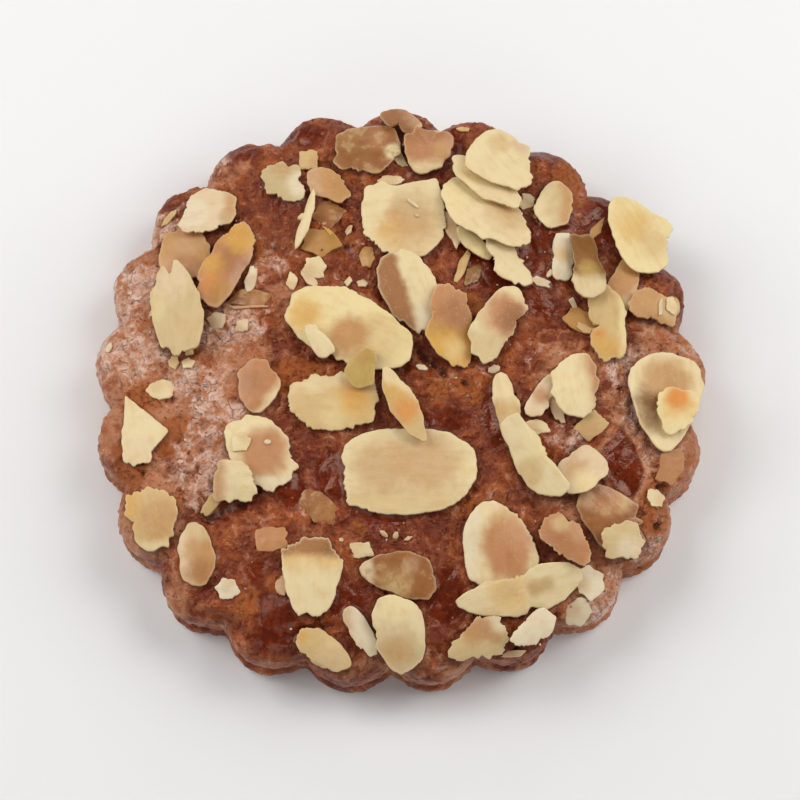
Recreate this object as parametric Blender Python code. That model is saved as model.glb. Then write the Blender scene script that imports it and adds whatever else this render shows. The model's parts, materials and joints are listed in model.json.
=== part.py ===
"""Fluted speculaas cookie, egg-washed and topped with flaked almonds.

The cookie lies flat on its baked underside. The origin is under the middle of its box, +Z is up, and
the model is in metres. Sizes below are in millimetres and turned into metres by MM. Places in plan
are measured from the middle of the ring of flutes, and the finished model is moved to its origin.
"""

import math
import random
from typing import NamedTuple

import bmesh
import bpy
import numpy as np
from mathutils import Matrix, Vector, noise
from mathutils.bvhtree import BVHTree

MM = 0.001

# Cookie body
HALF_WIDTH = 52.5  # X, to the tip of a flute
HALF_DEPTH = 51.2  # Y, to the tip of a flute
FLUTES = 21
FLUTE_DEPTH = 3.2
FLUTE_TURN = math.radians(3.4)
SHOULDER_HEIGHT = 13.4
CROWN = 3.9  # rise of the middle over the shoulder
GROOVE_DEPTH = 1.5  # how deep the grooves between flutes cut into the top
GROOVE_REACH = 5.5  # how far in from the shoulder they run
COLUMNS = FLUTES * 8

# Slow unevenness of the outline: (waves round the cookie, depth, turn in degrees)
OUTLINE_WAVES = ((3, 0.6, -12), (4, 0.4, -172), (5, 0.2, 53))

# Side wall, from the underside up: (height, inset from the outline)
SIDE_RINGS = (
    (0.0, 1.9),
    (0.5, 0.7),
    (1.6, 0.0),
    (2.9, 0.2),
    (3.9, 1.1),
    (5.0, 0.9),
    (7.6, 0.3),
    (10.0, 0.4),
    (11.8, 1.2),
    (13.0, 2.6),
)
# Top: (columns, insets from the outline) of its rings
TOP_RINGS = (
    (COLUMNS, (4.4, 6.6, 9.0)),
    (COLUMNS // 2, (11.6, 14.4, 17.4, 20.4, 23.6)),
    (COLUMNS // 4, (27.4, 31.4, 35.6, 40.0, 44.6)),
)
LUMPS = ((10.0, 0.50), (4.5, 0.28))  # (size, height) of the baked surface's low lumps

# Almond slices
FLAKE_THICKNESS = 0.9
FLAKE_GAP = 0.4  # clear height between a slice and what it lies on
FLAKE_POINTS = 16
LARGE_FLAKE = 12.0  # slices from this length have a ring of points between rim and middle
STEEPEST = 0.36  # steepest slope at which a slice comes to rest
CHIP_POINTS = 7
CHIP_OVER = 0.5
CHIP_UNDER = 0.7
CHIP_FEEL = 1.2  # how far round its middle a chip's lean is felt
CELL = 0.5  # spacing of the points at which resting heights are felt
REACH = 60.0  # half the width of the felt square
RIM_LIMIT = 10.5  # nothing rests on what is lower than this

SKIN = {"crust": (0.24, 0.085, 0.035), "almond": (0.72, 0.60, 0.36)}
ROUGHNESS = {"crust": 0.35, "almond": 0.5}


class Crack(NamedTuple):
    """A fissure in the top crust: middle, length and depth in mm, turn in degrees."""

    x: float
    y: float
    length: float
    turn: float
    depth: float


class Flake(NamedTuple):
    """An almond slice seen from above. Sizes in mm, turns and cut directions in degrees."""

    x: float
    y: float
    length: float
    width: float
    turn: float
    power: float = 2.2  # outline exponent: 2 is an ellipse, more is squarer, less is pointed
    taper: float = 0.0  # how much narrower the end that turn points to is
    bow: float = 0.3  # rise of the middle over the rim
    rag: float = 0.0  # unevenness of the rim, as a share of its radius
    cuts: tuple = ()  # (direction, distance from the middle) of each broken edge


CRACKS = (
    Crack(-37.9, -1.0, 7.0, -70.0, 1.3),
    Crack(-28.4, -22.0, 8.0, 20.0, 1.3),
    Crack(-13.4, -41.5, 9.0, 10.0, 1.0),
    Crack(6.6, 2.5, 7.0, -40.0, 1.2),
    Crack(30.6, -10.5, 6.0, 40.0, 1.0),
    Crack(-8.4, 24.0, 9.0, -75.0, 1.0),
)

# Slices from the lowest of a stack to its highest
FLAKES = (
    # upper left
    Flake(-35.4, 22.7, 9.0, 9.0, 0),
    Flake(-31.9, 29.8, 11.0, 7.6, 37, power=2.8, rag=0.04, cuts=((81, 3.6), (0, 4.8))),
    Flake(-28.4, 20.2, 16.0, 6.5, 64, power=2.5, rag=0.05, bow=0.5),
    Flake(-36.7, 12.1, 17.3, 9.0, 96, power=1.9, cuts=((40, 5.6), (150, 5.6))),
    Flake(-19.1, 35.1, 7.6, 7.4, 0, power=2.6, rag=0.09),
    Flake(-11.2, 34.5, 8.5, 5.3, -47, power=2.8),
    Flake(-15.3, 28.2, 10.7, 1.8, 74, power=1.5),
    Flake(-4.8, 41.1, 11.8, 9.1, 0, power=2.3, rag=0.04, bow=0.2, cuts=((-100, 3.8),)),
    Flake(0.7, 46.2, 8.3, 3.7, -21),
    Flake(5.7, 40.5, 8.2, 7.2, 0, cuts=((85, 3.3),)),
    # top middle and right
    Flake(1.2, 28.4, 13.8, 13.6, 0, power=3.0, bow=0.2, cuts=((94, 5.8), (-125, 6.4), (-50, 6.8))),
    Flake(2.2, 15.4, 15.1, 8.7, -71, power=2.2, taper=0.12, bow=0.5),
    Flake(13.2, 23.6, 8.6, 3.5, -44),
    Flake(19.3, 20.5, 11.2, 5.2, -47, power=1.9, rag=0.06),
    Flake(15.6, 29.3, 18.2, 9.6, -38, power=2.2, taper=0.12, bow=0.5, cuts=((0, 7.0),)),
    Flake(15.7, 34.1, 13.8, 5.0, -40, power=1.9),
    Flake(18.0, 38.2, 13.4, 11.2, -37, power=2.3, rag=0.02, cuts=((8, 5.2),)),
    Flake(26.9, 31.1, 9.0, 6.5, 61, power=1.9),
    Flake(28.2, 21.4, 8.9, 4.0, 84, power=3.2, rag=0.05),
    Flake(38.4, 16.5, 10.4, 5.4, 70),
    Flake(35.4, 9.4, 12.5, 6.4, -82, power=2.7, rag=0.04, cuts=((-150, 3.4),)),
    Flake(32.6, 19.5, 11.3, 5.8, -80, power=2.7, rag=0.03, cuts=((95, 5.2),)),
    Flake(42.2, 26.1, 15.6, 10.6, -63, power=2.3, bow=0.4, cuts=((69, 5.2), (-8, 5.0))),
    Flake(43.6, 12.8, 9.4, 5.3, -21, power=2.5, rag=0.07),
    # middle
    Flake(9.1, 8.9, 14.2, 7.3, -79, power=2.1, rag=0.04, cuts=((15, 3.2),)),
    Flake(17.2, 9.4, 14.4, 7.8, 61, power=2.3, rag=0.04, cuts=((-30, 3.1),)),
    Flake(-7.8, 8.6, 22.7, 11.5, -25, bow=0.6),
    Flake(-12.8, 6.6, 6.9, 2.9, -51, power=2.6),
    Flake(-10.1, -3.9, 15.3, 9.7, 5, power=2.8, rag=0.04, bow=0.5, cuts=((-125, 5.8),)),
    Flake(-5.5, 1.4, 7.4, 4.0, 69, power=2.4),
    Flake(-22.6, -1.3, 9.2, 7.1, 67),
    Flake(2.3, -15.9, 22.6, 14.2, 3, power=2.6, bow=0.3, cuts=((190, 10.5),)),
    Flake(1.4, -5.0, 14.8, 4.7, -61, power=1.6, bow=0.2),
    Flake(-22.4, -12.6, 13.5, 10.3, -50, power=2.3, rag=0.05),
    Flake(-26.1, -17.4, 7.4, 6.7, 0, power=3.0, rag=0.03),
    Flake(-41.9, -9.1, 15.5, 11.0, -72, power=2.4, cuts=((52, 3.1), (-27, 3.7), (-92, 4.7), (180, 3.2))),
    Flake(-39.9, -23.3, 10.5, 8.4, -74, power=2.9, taper=0.18),
    Flake(-32.4, -29.3, 10.8, 6.2, -79, power=2.0),
    # bottom
    Flake(-13.4, -33.4, 13.4, 10.1, -89, power=2.4, taper=0.3, bow=0.4, cuts=((-90, 6.0),)),
    Flake(0.5, -33.0, 13.0, 6.9, -15, taper=-0.2),
    Flake(-5.8, -42.0, 9.1, 2.9, -57, power=2.6),
    Flake(0.6, -42.3, 13.1, 8.6, -80, taper=0.12, bow=0.5),
    Flake(-11.7, -44.8, 10.1, 5.6, -33, power=2.3, rag=0.05),
    Flake(17.0, -27.7, 14.1, 11.7, -76, taper=-0.18, bow=0.6, cuts=((35, 5.5),)),
    Flake(19.9, -35.4, 20.4, 6.5, 14, power=2.0, taper=-0.15),
    Flake(13.6, -43.1, 11.2, 6.6, 20, power=2.6, rag=0.06, cuts=((130, 2.6),)),
    Flake(22.4, -41.7, 8.7, 5.0, 35, power=2.4, rag=0.03),
    # right
    Flake(35.4, -23.9, 14.0, 8.7, -46, bow=0.2),
    Flake(27.8, -27.2, 9.8, 6.6, -51, rag=0.06),
    Flake(37.4, -27.4, 7.4, 6.5, 0, power=3.0, rag=0.07),
    Flake(18.4, -5.0, 11.9, 4.1, -76, power=2.4),
    Flake(30.8, -15.5, 9.0, 8.0, 25, cuts=((-5, 4.0),)),
    Flake(23.3, -13.7, 15.4, 7.4, -56, power=2.1, cuts=((35, 1.3),)),
    Flake(24.1, -3.1, 8.6, 3.7, 55),
    Flake(30.1, -1.4, 11.4, 8.2, 89, power=2.3, bow=0.5, cuts=((0, 3.6),)),
    Flake(44.9, -2.9, 17.1, 12.3, -90, power=2.0, taper=0.42, bow=-0.3),
    Flake(46.8, -5.3, 8.3, 7.4, -100, power=2.6, taper=0.15, cuts=((96, 3.0),)),
)

# Small broken bits of almond, baked into the crust
CHIPS = (
    Flake(-15.0, 39.6, 4.0, 3.8, 45),
    Flake(0.1, 40.0, 4.9, 1.8, -44),
    Flake(-0.8, 35.4, 4.1, 1.8, 0),
    Flake(-11.5, 29.5, 5.4, 5.0, 0),
    Flake(-12.8, 24.3, 6.1, 5.0, 0),
    Flake(-13.6, 19.5, 3.7, 3.7, 0),
    Flake(-17.5, 17.0, 3.2, 2.0, 90),
    Flake(-24.4, 17.5, 4.4, 1.9, 77),
    Flake(-4.9, 21.6, 3.6, 2.4, 90),
    Flake(-24.5, 14.2, 7.6, 3.5, 0, power=1.4),
    Flake(-34.8, 3.0, 2.6, 2.4, 0),
    Flake(-39.2, -1.2, 4.5, 3.5, 0),
    Flake(-30.0, 10.3, 3.2, 2.6, 0),
    Flake(-25.8, 9.4, 2.7, 2.5, 0),
    Flake(-30.0, -20.6, 5.3, 2.0, 46),
    Flake(-12.7, -21.6, 7.0, 4.0, -40),
    Flake(-20.4, -26.9, 6.2, 4.7, 0),
    Flake(-18.6, -34.7, 3.1, 2.1, 90),
    Flake(-27.4, -35.0, 3.6, 3.3, 0),
    Flake(-5.5, -28.7, 4.2, 3.0, 0),
    Flake(29.4, -37.8, 4.6, 3.8, 45),
    Flake(31.7, -34.0, 4.9, 4.4, 90),
    Flake(32.3, -7.7, 5.7, 3.4, 20),
    Flake(45.6, -14.3, 6.2, 4.3, 59),
    Flake(43.0, -19.5, 3.0, 2.9, 0),
    Flake(22.1, 31.5, 3.4, 2.2, 0),
    Flake(9.5, 26.3, 6.4, 2.1, -71),
    Flake(11.5, 19.5, 6.7, 3.1, 66),
    Flake(26.6, -4.4, 5.8, 2.3, -72),
    Flake(23.2, -8.2, 4.3, 2.4, 0),
    Flake(34.1, 26.6, 4.6, 1.5, 56),
    Flake(16.4, 1.6, 1.9, 1.2, 0),
)


def plain_radius(angle):
    """Outline of the cookie over its flute tips."""
    oval = 1 / math.hypot(math.cos(angle) / HALF_WIDTH, math.sin(angle) / HALF_DEPTH)
    waves = sum(depth * math.cos(count * angle - math.radians(turn)) for count, depth, turn in OUTLINE_WAVES)
    return oval + waves


def groove(angle):
    """1 in the groove between two flutes, 0 at a flute's tip."""
    return 1 - abs(math.cos(FLUTES / 2 * (angle - FLUTE_TURN)))


def outline_radius(angle, inset):
    """Radius at an inset from the outline. The flutes fade towards the middle."""
    plain = plain_radius(angle)
    fade = math.exp(-max(0.0, inset - 2) / GROOVE_REACH)
    return plain * (1 - inset / HALF_DEPTH) - FLUTE_DEPTH * groove(angle) * fade


def crack_depth(x, y):
    """How much the fissures lower the crust at a point."""
    depth = 0.0
    for crack in CRACKS:
        turn = math.radians(crack.turn)
        along = (x - crack.x) * math.cos(turn) + (y - crack.y) * math.sin(turn)
        across = (y - crack.y) * math.cos(turn) - (x - crack.x) * math.sin(turn)
        depth += crack.depth * math.exp(-((2 * along / crack.length) ** 4) - (across / 1.2) ** 2)
    return depth


def crust_height(x, y):
    """Height of the top crust, inside the shoulder."""
    angle = math.atan2(y, x)
    share = math.hypot(x, y) / plain_radius(angle)
    rise = CROWN * (1 - share**2)
    lumps = sum(height * noise.noise(Vector((x / size, y / size, size))) for size, height in LUMPS)
    inset = (1 - share) * HALF_DEPTH
    notch = GROOVE_DEPTH * groove(angle) ** 1.5 * math.exp(-((inset / GROOVE_REACH) ** 2))
    return SHOULDER_HEIGHT + rise + lumps - notch - crack_depth(x, y)


def ring_points(columns, inset, height=None):
    """Points of one ring round the cookie. Without a height they lie on the top crust."""
    points = []
    for column in range(columns):
        angle = FLUTE_TURN + 2 * math.pi * column / columns
        radius = outline_radius(angle, inset)
        x, y = radius * math.cos(angle), radius * math.sin(angle)
        z = crust_height(x, y) if height is None else height
        points.append((x, y, z))
    return points


def join_rings(mesh, outer, inner):
    """Faces between two rings with the same count of points, or twice as many outside."""
    count = len(inner)
    step = len(outer) // count
    for i in range(count):
        near, far = inner[i], inner[(i + 1) % count]
        first, last = outer[step * i], outer[step * (i + 1) % len(outer)]
        if step == 1:
            mesh.faces.new((first, last, far, near))
        else:
            middle = outer[step * i + 1]
            mesh.faces.new((first, middle, near))
            mesh.faces.new((middle, last, far))
            mesh.faces.new((middle, far, near))


def finished(name, mesh, slot):
    """A named object from a bmesh in millimetres, with its material."""
    bmesh.ops.recalc_face_normals(mesh, faces=mesh.faces)
    bmesh.ops.scale(mesh, vec=(MM, MM, MM), verts=mesh.verts)
    data = bpy.data.meshes.new(name)
    mesh.to_mesh(data)
    mesh.free()
    data.materials.append(skin(slot))
    thing = bpy.data.objects.new(name, data)
    bpy.context.scene.collection.objects.link(thing)
    return thing


def skin(slot):
    """The material of a slot, made once."""
    material = bpy.data.materials.get(slot)
    if material is None:
        material = bpy.data.materials.new(slot)
        material.use_nodes = True
        shader = material.node_tree.nodes["Principled BSDF"]
        shader.inputs["Base Color"].default_value = (*SKIN[slot], 1.0)
        shader.inputs["Roughness"].default_value = ROUGHNESS[slot]
        shader.inputs["Metallic"].default_value = 0.0
    return material


def crust_body():
    """The cookie: flat underside, fluted side wall and domed, cracked top."""
    mesh = bmesh.new()
    rings = [[mesh.verts.new(point) for point in ring_points(COLUMNS, inset, height)] for height, inset in SIDE_RINGS]
    for columns, insets in TOP_RINGS:
        rings += [[mesh.verts.new(point) for point in ring_points(columns, inset)] for inset in insets]
    for outer, inner in zip(rings, rings[1:]):
        join_rings(mesh, outer, inner)
    mesh.faces.new(rings[0])
    middle = mesh.verts.new((0.0, 0.0, crust_height(0.0, 0.0)))
    last = rings[-1]
    for i, vert in enumerate(last):
        mesh.faces.new((vert, last[(i + 1) % len(last)], middle))
    return finished("cookie_crust", mesh, "crust")


def clipped(points, direction, distance):
    """The part of a closed outline that lies short of a broken edge."""
    normal = (math.cos(direction), math.sin(direction))
    kept = []
    for here, after in zip(points, points[1:] + points[:1]):
        over = here[0] * normal[0] + here[1] * normal[1] - distance
        over_after = after[0] * normal[0] + after[1] * normal[1] - distance
        if over <= 0:
            kept.append(here)
        if over * over_after < 0:
            share = over / (over - over_after)
            kept.append((here[0] + share * (after[0] - here[0]), here[1] + share * (after[1] - here[1])))
    return kept


def flake_outline(flake, count, draw):
    """Outline of a slice round its own middle: a tapered superellipse with its edges broken off."""
    points = []
    for i in range(count):
        angle = 2 * math.pi * (i + 0.5) / count
        c, s = math.cos(angle), math.sin(angle)
        along = math.copysign(abs(c) ** (2 / flake.power), c)
        across = math.copysign(abs(s) ** (2 / flake.power), s) * (1 - flake.taper * along)
        uneven = 1 + flake.rag * draw.uniform(-1, 1)
        points.append((along * uneven, across * uneven))
    length = max(abs(along) for along, _ in points)
    width = max(abs(across) for _, across in points)
    turn = math.radians(flake.turn)
    turned = []
    for along, across in points:
        u, v = along / length * flake.length / 2, across / width * flake.width / 2
        turned.append((u * math.cos(turn) - v * math.sin(turn), u * math.sin(turn) + v * math.cos(turn)))
    for direction, distance in flake.cuts:
        turned = clipped(turned, math.radians(direction), distance)
    return spaced(turned, flake.length / 30)


def spaced(points, least):
    """The outline without points that crowd the one before."""
    kept = []
    for point in points:
        if not kept or math.dist(point, kept[-1]) > least:
            kept.append(point)
    if math.dist(kept[0], kept[-1]) <= least:
        kept.pop()
    return kept


def slab(outline, shares, under, over):
    """A closed plate: rings of the outline at shares of its size, then a middle point.

    under and over give the height of its two faces at (x, y, share)."""
    mesh = bmesh.new()
    faces = []
    for height in (under, over):
        rings = [[mesh.verts.new((x * share, y * share, height(x * share, y * share, share))) for x, y in outline]
                 for share in shares]
        for outer, inner in zip(rings, rings[1:]):
            for i, vert in enumerate(outer):
                j = (i + 1) % len(outer)
                mesh.faces.new((vert, outer[j], inner[j]))
                mesh.faces.new((vert, inner[j], inner[i]))
        middle = mesh.verts.new((0.0, 0.0, height(0.0, 0.0, 0.0)))
        for i, vert in enumerate(rings[-1]):
            mesh.faces.new((vert, rings[-1][(i + 1) % len(outline)], middle))
        faces.append(rings[0])
    low, high = faces
    for i, vert in enumerate(low):
        j = (i + 1) % len(low)
        mesh.faces.new((vert, low[j], high[j], high[i]))
    return mesh


def touched_from_above(tree, x, y):
    """Where a surface is met under a point of the plan, or None beside it."""
    return tree.ray_cast(Vector((x, y, 100.0)), Vector((0.0, 0.0, -1.0)))[0]


def chip(name, flake, tree, draw):
    """A small flat bit that leans with the crust and is half sunk in it."""
    middle = touched_from_above(tree, flake.x, flake.y).z
    slope_x, slope_y = (
        (touched_from_above(tree, flake.x + x, flake.y + y).z - touched_from_above(tree, flake.x - x, flake.y - y).z)
        / (2 * CHIP_FEEL)
        for x, y in ((CHIP_FEEL, 0), (0, CHIP_FEEL))
    )

    def face(lift):
        return lambda x, y, share: middle + slope_x * x + slope_y * y + lift

    mesh = slab(flake_outline(flake, CHIP_POINTS, draw), (1.0,), face(-CHIP_UNDER), face(CHIP_OVER))
    bmesh.ops.translate(mesh, vec=(flake.x, flake.y, 0.0), verts=mesh.verts)
    return finished(name, mesh, "crust")


def in_millimetres(thing):
    """A bmesh copy of an object's mesh, in millimetres."""
    mesh = bmesh.new()
    mesh.from_mesh(thing.data)
    bmesh.ops.scale(mesh, vec=(1 / MM,) * 3, verts=mesh.verts)
    return mesh


def fuse_chips(crust, draw):
    """One union of all chips with the crust."""
    bits = bpy.data.collections.new("chips")
    bpy.context.scene.collection.children.link(bits)
    bare = in_millimetres(crust)
    tree = BVHTree.FromBMesh(bare)
    bare.free()
    for number, flake in enumerate(CHIPS):
        bit = chip(f"chip_{number:02d}", flake, tree, draw)
        bpy.context.scene.collection.objects.unlink(bit)
        bits.objects.link(bit)
    union = crust.modifiers.new("Chips", "BOOLEAN")
    union.operation = "UNION"
    union.operand_type = "COLLECTION"
    union.collection = bits
    union.solver = "EXACT"
    bpy.context.view_layer.update()
    fused = bpy.data.meshes.new_from_object(crust.evaluated_get(bpy.context.evaluated_depsgraph_get()))
    crust.modifiers.clear()
    crust.data = fused
    for bit in list(bits.objects):
        bpy.data.objects.remove(bit)
    bpy.data.collections.remove(bits)


class Ground:
    """Heights that a slice can rest on: the crust, and the slices laid so far."""

    def __init__(self, crust):
        self.count = int(2 * REACH / CELL) + 1
        self.height = np.full((self.count, self.count), -np.inf)
        mesh = in_millimetres(crust)
        self.feel(mesh, (-REACH, -REACH), (REACH, REACH))
        mesh.free()

    def cells(self, low, high):
        """Grid places (row, column, x, y) between two corners."""
        first = [max(0, math.floor((value + REACH) / CELL)) for value in low]
        last = [min(self.count - 1, math.ceil((value + REACH) / CELL)) for value in high]
        for row in range(first[0], last[0] + 1):
            for column in range(first[1], last[1] + 1):
                yield row, column, row * CELL - REACH, column * CELL - REACH

    def feel(self, mesh, low, high):
        """Raise the heights to the top of a mesh, and of each place's neighbours."""
        tree = BVHTree.FromBMesh(mesh)
        felt = np.full_like(self.height, -np.inf)
        for row, column, x, y in self.cells(low, high):
            hit = touched_from_above(tree, x, y)
            if hit is not None:
                felt[row, column] = hit.z
        for rows in (-1, 0, 1):
            for columns in (-1, 0, 1):
                self.height = np.maximum(self.height, np.roll(felt, (rows, columns), axis=(0, 1)))

    def settle(self, mesh, low, high):
        """Lower a flat-lying slice on to the heights under it, tilted as it comes to rest."""
        tree = BVHTree.FromBMesh(mesh)
        places = []
        for row, column, x, y in self.cells(low, high):
            hit = tree.ray_cast(Vector((x, y, -10.0)), Vector((0.0, 0.0, 1.0)))[0]
            if hit is not None and self.height[row, column] > RIM_LIMIT:
                places.append((x, y, self.height[row, column] + FLAKE_GAP - hit.z))
        slope_x, slope_y, level = resting_plane(np.array(places))
        for vert in mesh.verts:
            vert.co.z += level + slope_x * vert.co.x + slope_y * vert.co.y
        self.feel(mesh, low, high)


def resting_plane(places):
    """The plane (slope in X, slope in Y, level) that lies on the given least heights."""
    x, y, least = places.T
    columns = np.stack((x, y, np.ones_like(x)), axis=1)
    weight = np.ones_like(x)
    for _ in range(40):
        root = np.sqrt(weight)
        fit = np.linalg.lstsq(columns * root[:, None], least * root, rcond=None)[0]
        weight = np.where(least > columns @ fit, 60.0, 1.0)
    steep = math.hypot(fit[0], fit[1])
    if steep > STEEPEST:
        fit[:2] *= STEEPEST / steep
        fit[2] = 0.0
    fit[2] += np.max(least - columns @ fit)
    return fit


def lay_flake(name, flake, ground, draw):
    """One almond slice, bowed, on whatever lies under it."""
    shares = (1.0, 0.55) if flake.length >= LARGE_FLAKE else (1.0,)

    def face(lift):
        return lambda x, y, share: lift + flake.bow * (1 - share**2)

    mesh = slab(flake_outline(flake, FLAKE_POINTS, draw), shares, face(0.0), face(FLAKE_THICKNESS))
    bmesh.ops.translate(mesh, vec=(flake.x, flake.y, 0.0), verts=mesh.verts)
    span = [(min(v.co[axis] for v in mesh.verts), max(v.co[axis] for v in mesh.verts)) for axis in (0, 1)]
    ground.settle(mesh, [low for low, _ in span], [high for _, high in span])
    return finished(name, mesh, "almond")


def centre_on_origin(things):
    """Move the finished pieces so that the origin lies under the middle of their box."""
    corners = [vert.co for thing in things for vert in thing.data.vertices]
    middle_x, middle_y = (
        (min(corner[axis] for corner in corners) + max(corner[axis] for corner in corners)) / 2 for axis in (0, 1)
    )
    for thing in things:
        thing.data.transform(Matrix.Translation((-middle_x, -middle_y, 0.0)))


def build():
    """The whole cookie."""
    for thing in list(bpy.data.objects):
        bpy.data.objects.remove(thing)
    draw = random.Random(21)
    crust = crust_body()
    fuse_chips(crust, draw)
    ground = Ground(crust)
    flakes = [
        lay_flake(f"almond_flake_{number:02d}", flake, ground, draw) for number, flake in enumerate(FLAKES, start=1)
    ]
    centre_on_origin([crust, *flakes])


build()
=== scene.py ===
"""Fluted speculaas cookie with flaked almonds, dressed as it looks baked.

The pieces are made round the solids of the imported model, in its frame: metres, +Z up, origin under the
middle of the box. Shapes are worked out in millimetres and turned into metres by MM.
"""

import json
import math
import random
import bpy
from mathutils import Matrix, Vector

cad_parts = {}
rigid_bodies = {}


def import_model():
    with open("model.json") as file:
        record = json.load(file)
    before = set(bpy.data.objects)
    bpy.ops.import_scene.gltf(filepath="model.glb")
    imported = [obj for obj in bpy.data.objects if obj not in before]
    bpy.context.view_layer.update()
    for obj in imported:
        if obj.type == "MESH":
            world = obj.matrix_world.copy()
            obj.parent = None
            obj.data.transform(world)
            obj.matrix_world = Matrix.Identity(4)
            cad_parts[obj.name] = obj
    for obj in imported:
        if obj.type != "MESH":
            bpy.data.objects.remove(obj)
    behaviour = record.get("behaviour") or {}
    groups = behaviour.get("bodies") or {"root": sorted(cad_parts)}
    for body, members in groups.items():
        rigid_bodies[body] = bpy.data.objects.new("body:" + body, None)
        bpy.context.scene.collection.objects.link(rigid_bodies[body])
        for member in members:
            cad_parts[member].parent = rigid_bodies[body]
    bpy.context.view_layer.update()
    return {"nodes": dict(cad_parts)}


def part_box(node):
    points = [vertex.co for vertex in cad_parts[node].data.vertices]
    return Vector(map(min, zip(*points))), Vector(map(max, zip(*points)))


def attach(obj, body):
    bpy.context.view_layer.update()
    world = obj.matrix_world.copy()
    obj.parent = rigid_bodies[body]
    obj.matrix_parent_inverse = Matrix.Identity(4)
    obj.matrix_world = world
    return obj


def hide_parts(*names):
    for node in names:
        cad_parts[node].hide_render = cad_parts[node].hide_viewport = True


bl_info = {
    "name": "Fluted Almond Speculaas",
    "version": (1, 0, 0),
    "blender": (4, 5, 0),
    "location": "View3D > Sidebar > Speculaas",
    "description": "Bakes a fluted speculaas cookie and lays flaked almonds on it",
    "category": "Add Mesh",
}

from typing import NamedTuple

import bmesh
import bpy
import numpy as np
from bpy.props import FloatProperty, FloatVectorProperty, IntProperty, PointerProperty
from mathutils import Vector, noise
from mathutils.bvhtree import BVHTree

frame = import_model()

MM = 0.001
BODY = "root"

# Form of the crust, as the solid has it, in mm, measured from the middle of the ring of flutes
RING_MIDDLE = (-0.715, -0.415)  # that middle, seen from the origin
HALF_WIDTH = 52.5
HALF_DEPTH = 51.2
FLUTES = 21
FLUTE_DEPTH = 3.2
FLUTE_TURN = math.radians(3.4)
SHOULDER_HEIGHT = 13.4
CROWN = 3.9
GROOVE_DEPTH = 1.5
GROOVE_REACH = 5.5
OUTLINE_WAVES = ((3, 0.6, -12), (4, 0.4, -172), (5, 0.2, 53))  # (waves, depth, turn in degrees)
LUMPS = ((10.0, 0.50), (4.5, 0.28))  # (size, height)
# Side wall from the underside up, then the start of the top: (height, inset)
PROFILE = (
    (0.0, 1.9),
    (0.5, 0.7),
    (1.6, 0.0),
    (2.9, 0.2),
    (3.9, 1.1),
    (5.0, 0.9),
    (7.6, 0.3),
    (10.0, 0.4),
    (11.8, 1.2),
    (13.0, 2.6),
    (13.9, 4.4),
    (14.3, 6.6),
)
WALL_TOP = (11.8, 1.2)  # the height and inset at which the wall's rings give way to the top's grid
WALL_SPACING = 0.42  # between the wall's rings
SOLE_INSETS = (2.6, 4.0, 7.0, 11.0, 17.0, 25.0, 35.0, 46.0)  # rings of the underside
LIP_CREASE = (4.3, 0.9)  # height and half width of the painted shade in the crease over the lip at the foot

# What lies on the crust, in mm
TOUCH = 0.1  # how far the crust rises into a slice that it meets
CLEARANCE = 0.35  # how far it may stand over a slice's underside at most
CHIP_THICKNESS = 0.75
CHIP_PROUD = 0.35  # how far a dry chip's top stands over the ground
CHIP_SLOPE = 0.7  # steepest slope of a chip
CHIP_GROUND = 9.0  # least height of ground for a chip
CRUMB_GROUND = 11.0  # least height of ground for a crumb
CRUMB_REACH = 47.0  # farthest a crumb falls from the middle
CRUMB_SKIN = {  # what is painted on the crust's crumbs
    "bloom": 0.3,
    "crumb": 0.4,
    "glaze": 0.0,
    "flank": 0.5,
    "crevice": 0.0,
    "near": 0.0,
    "swell": 0.5,
    "ridge": 0.4,
}

# A plate of radius 1 and height 1, from which every slice and chip is shaped
PLATE_TOP = 0.955  # radius of its flat top
PLATE_RIM = (  # (radius, height)
    (0.985, 0.98),
    (0.997, 0.86),
    (1.0, 0.6),
    (1.0, 0.3),
    (0.99, 0.08),
    (0.965, 0.0),
)
PLATE_BASE = (0.7, 0.35)  # radii of the rings of its underside

LOOK_AT = Vector((-0.000015, -0.001665, 0.008))  # what the camera points at, in metres
SENSOR_WIDTH = 36.0  # of the camera, in mm
OVER_ALL = 0.05  # a height over everything, in metres
UNDER_CROWN = 0.004  # a height inside the crust, in metres
UP = Vector((0.0, 0.0, 1.0))
DOWN = Vector((0.0, 0.0, -1.0))


def linear(code):
    """Scene-linear colour of an sRGB hex code."""
    parts = (int(code[i : i + 2], 16) / 255 for i in (1, 3, 5))
    return tuple(part / 12.92 if part <= 0.04045 else ((part + 0.055) / 1.055) ** 2.4 for part in parts)


def colour(name, code, description):
    """A colour property."""
    return FloatVectorProperty(
        name=name, description=description, subtype="COLOR", size=3, min=0.0, max=1.0, default=linear(code)
    )


def length(name, millimetres, description):
    """A length property."""
    size = millimetres * MM
    return FloatProperty(name=name, description=description, unit="LENGTH", min=0.0, default=size)


def power(name, watts, description):
    """A property for the power of a light."""
    return FloatProperty(name=name, description=description, unit="POWER", default=watts)


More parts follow.
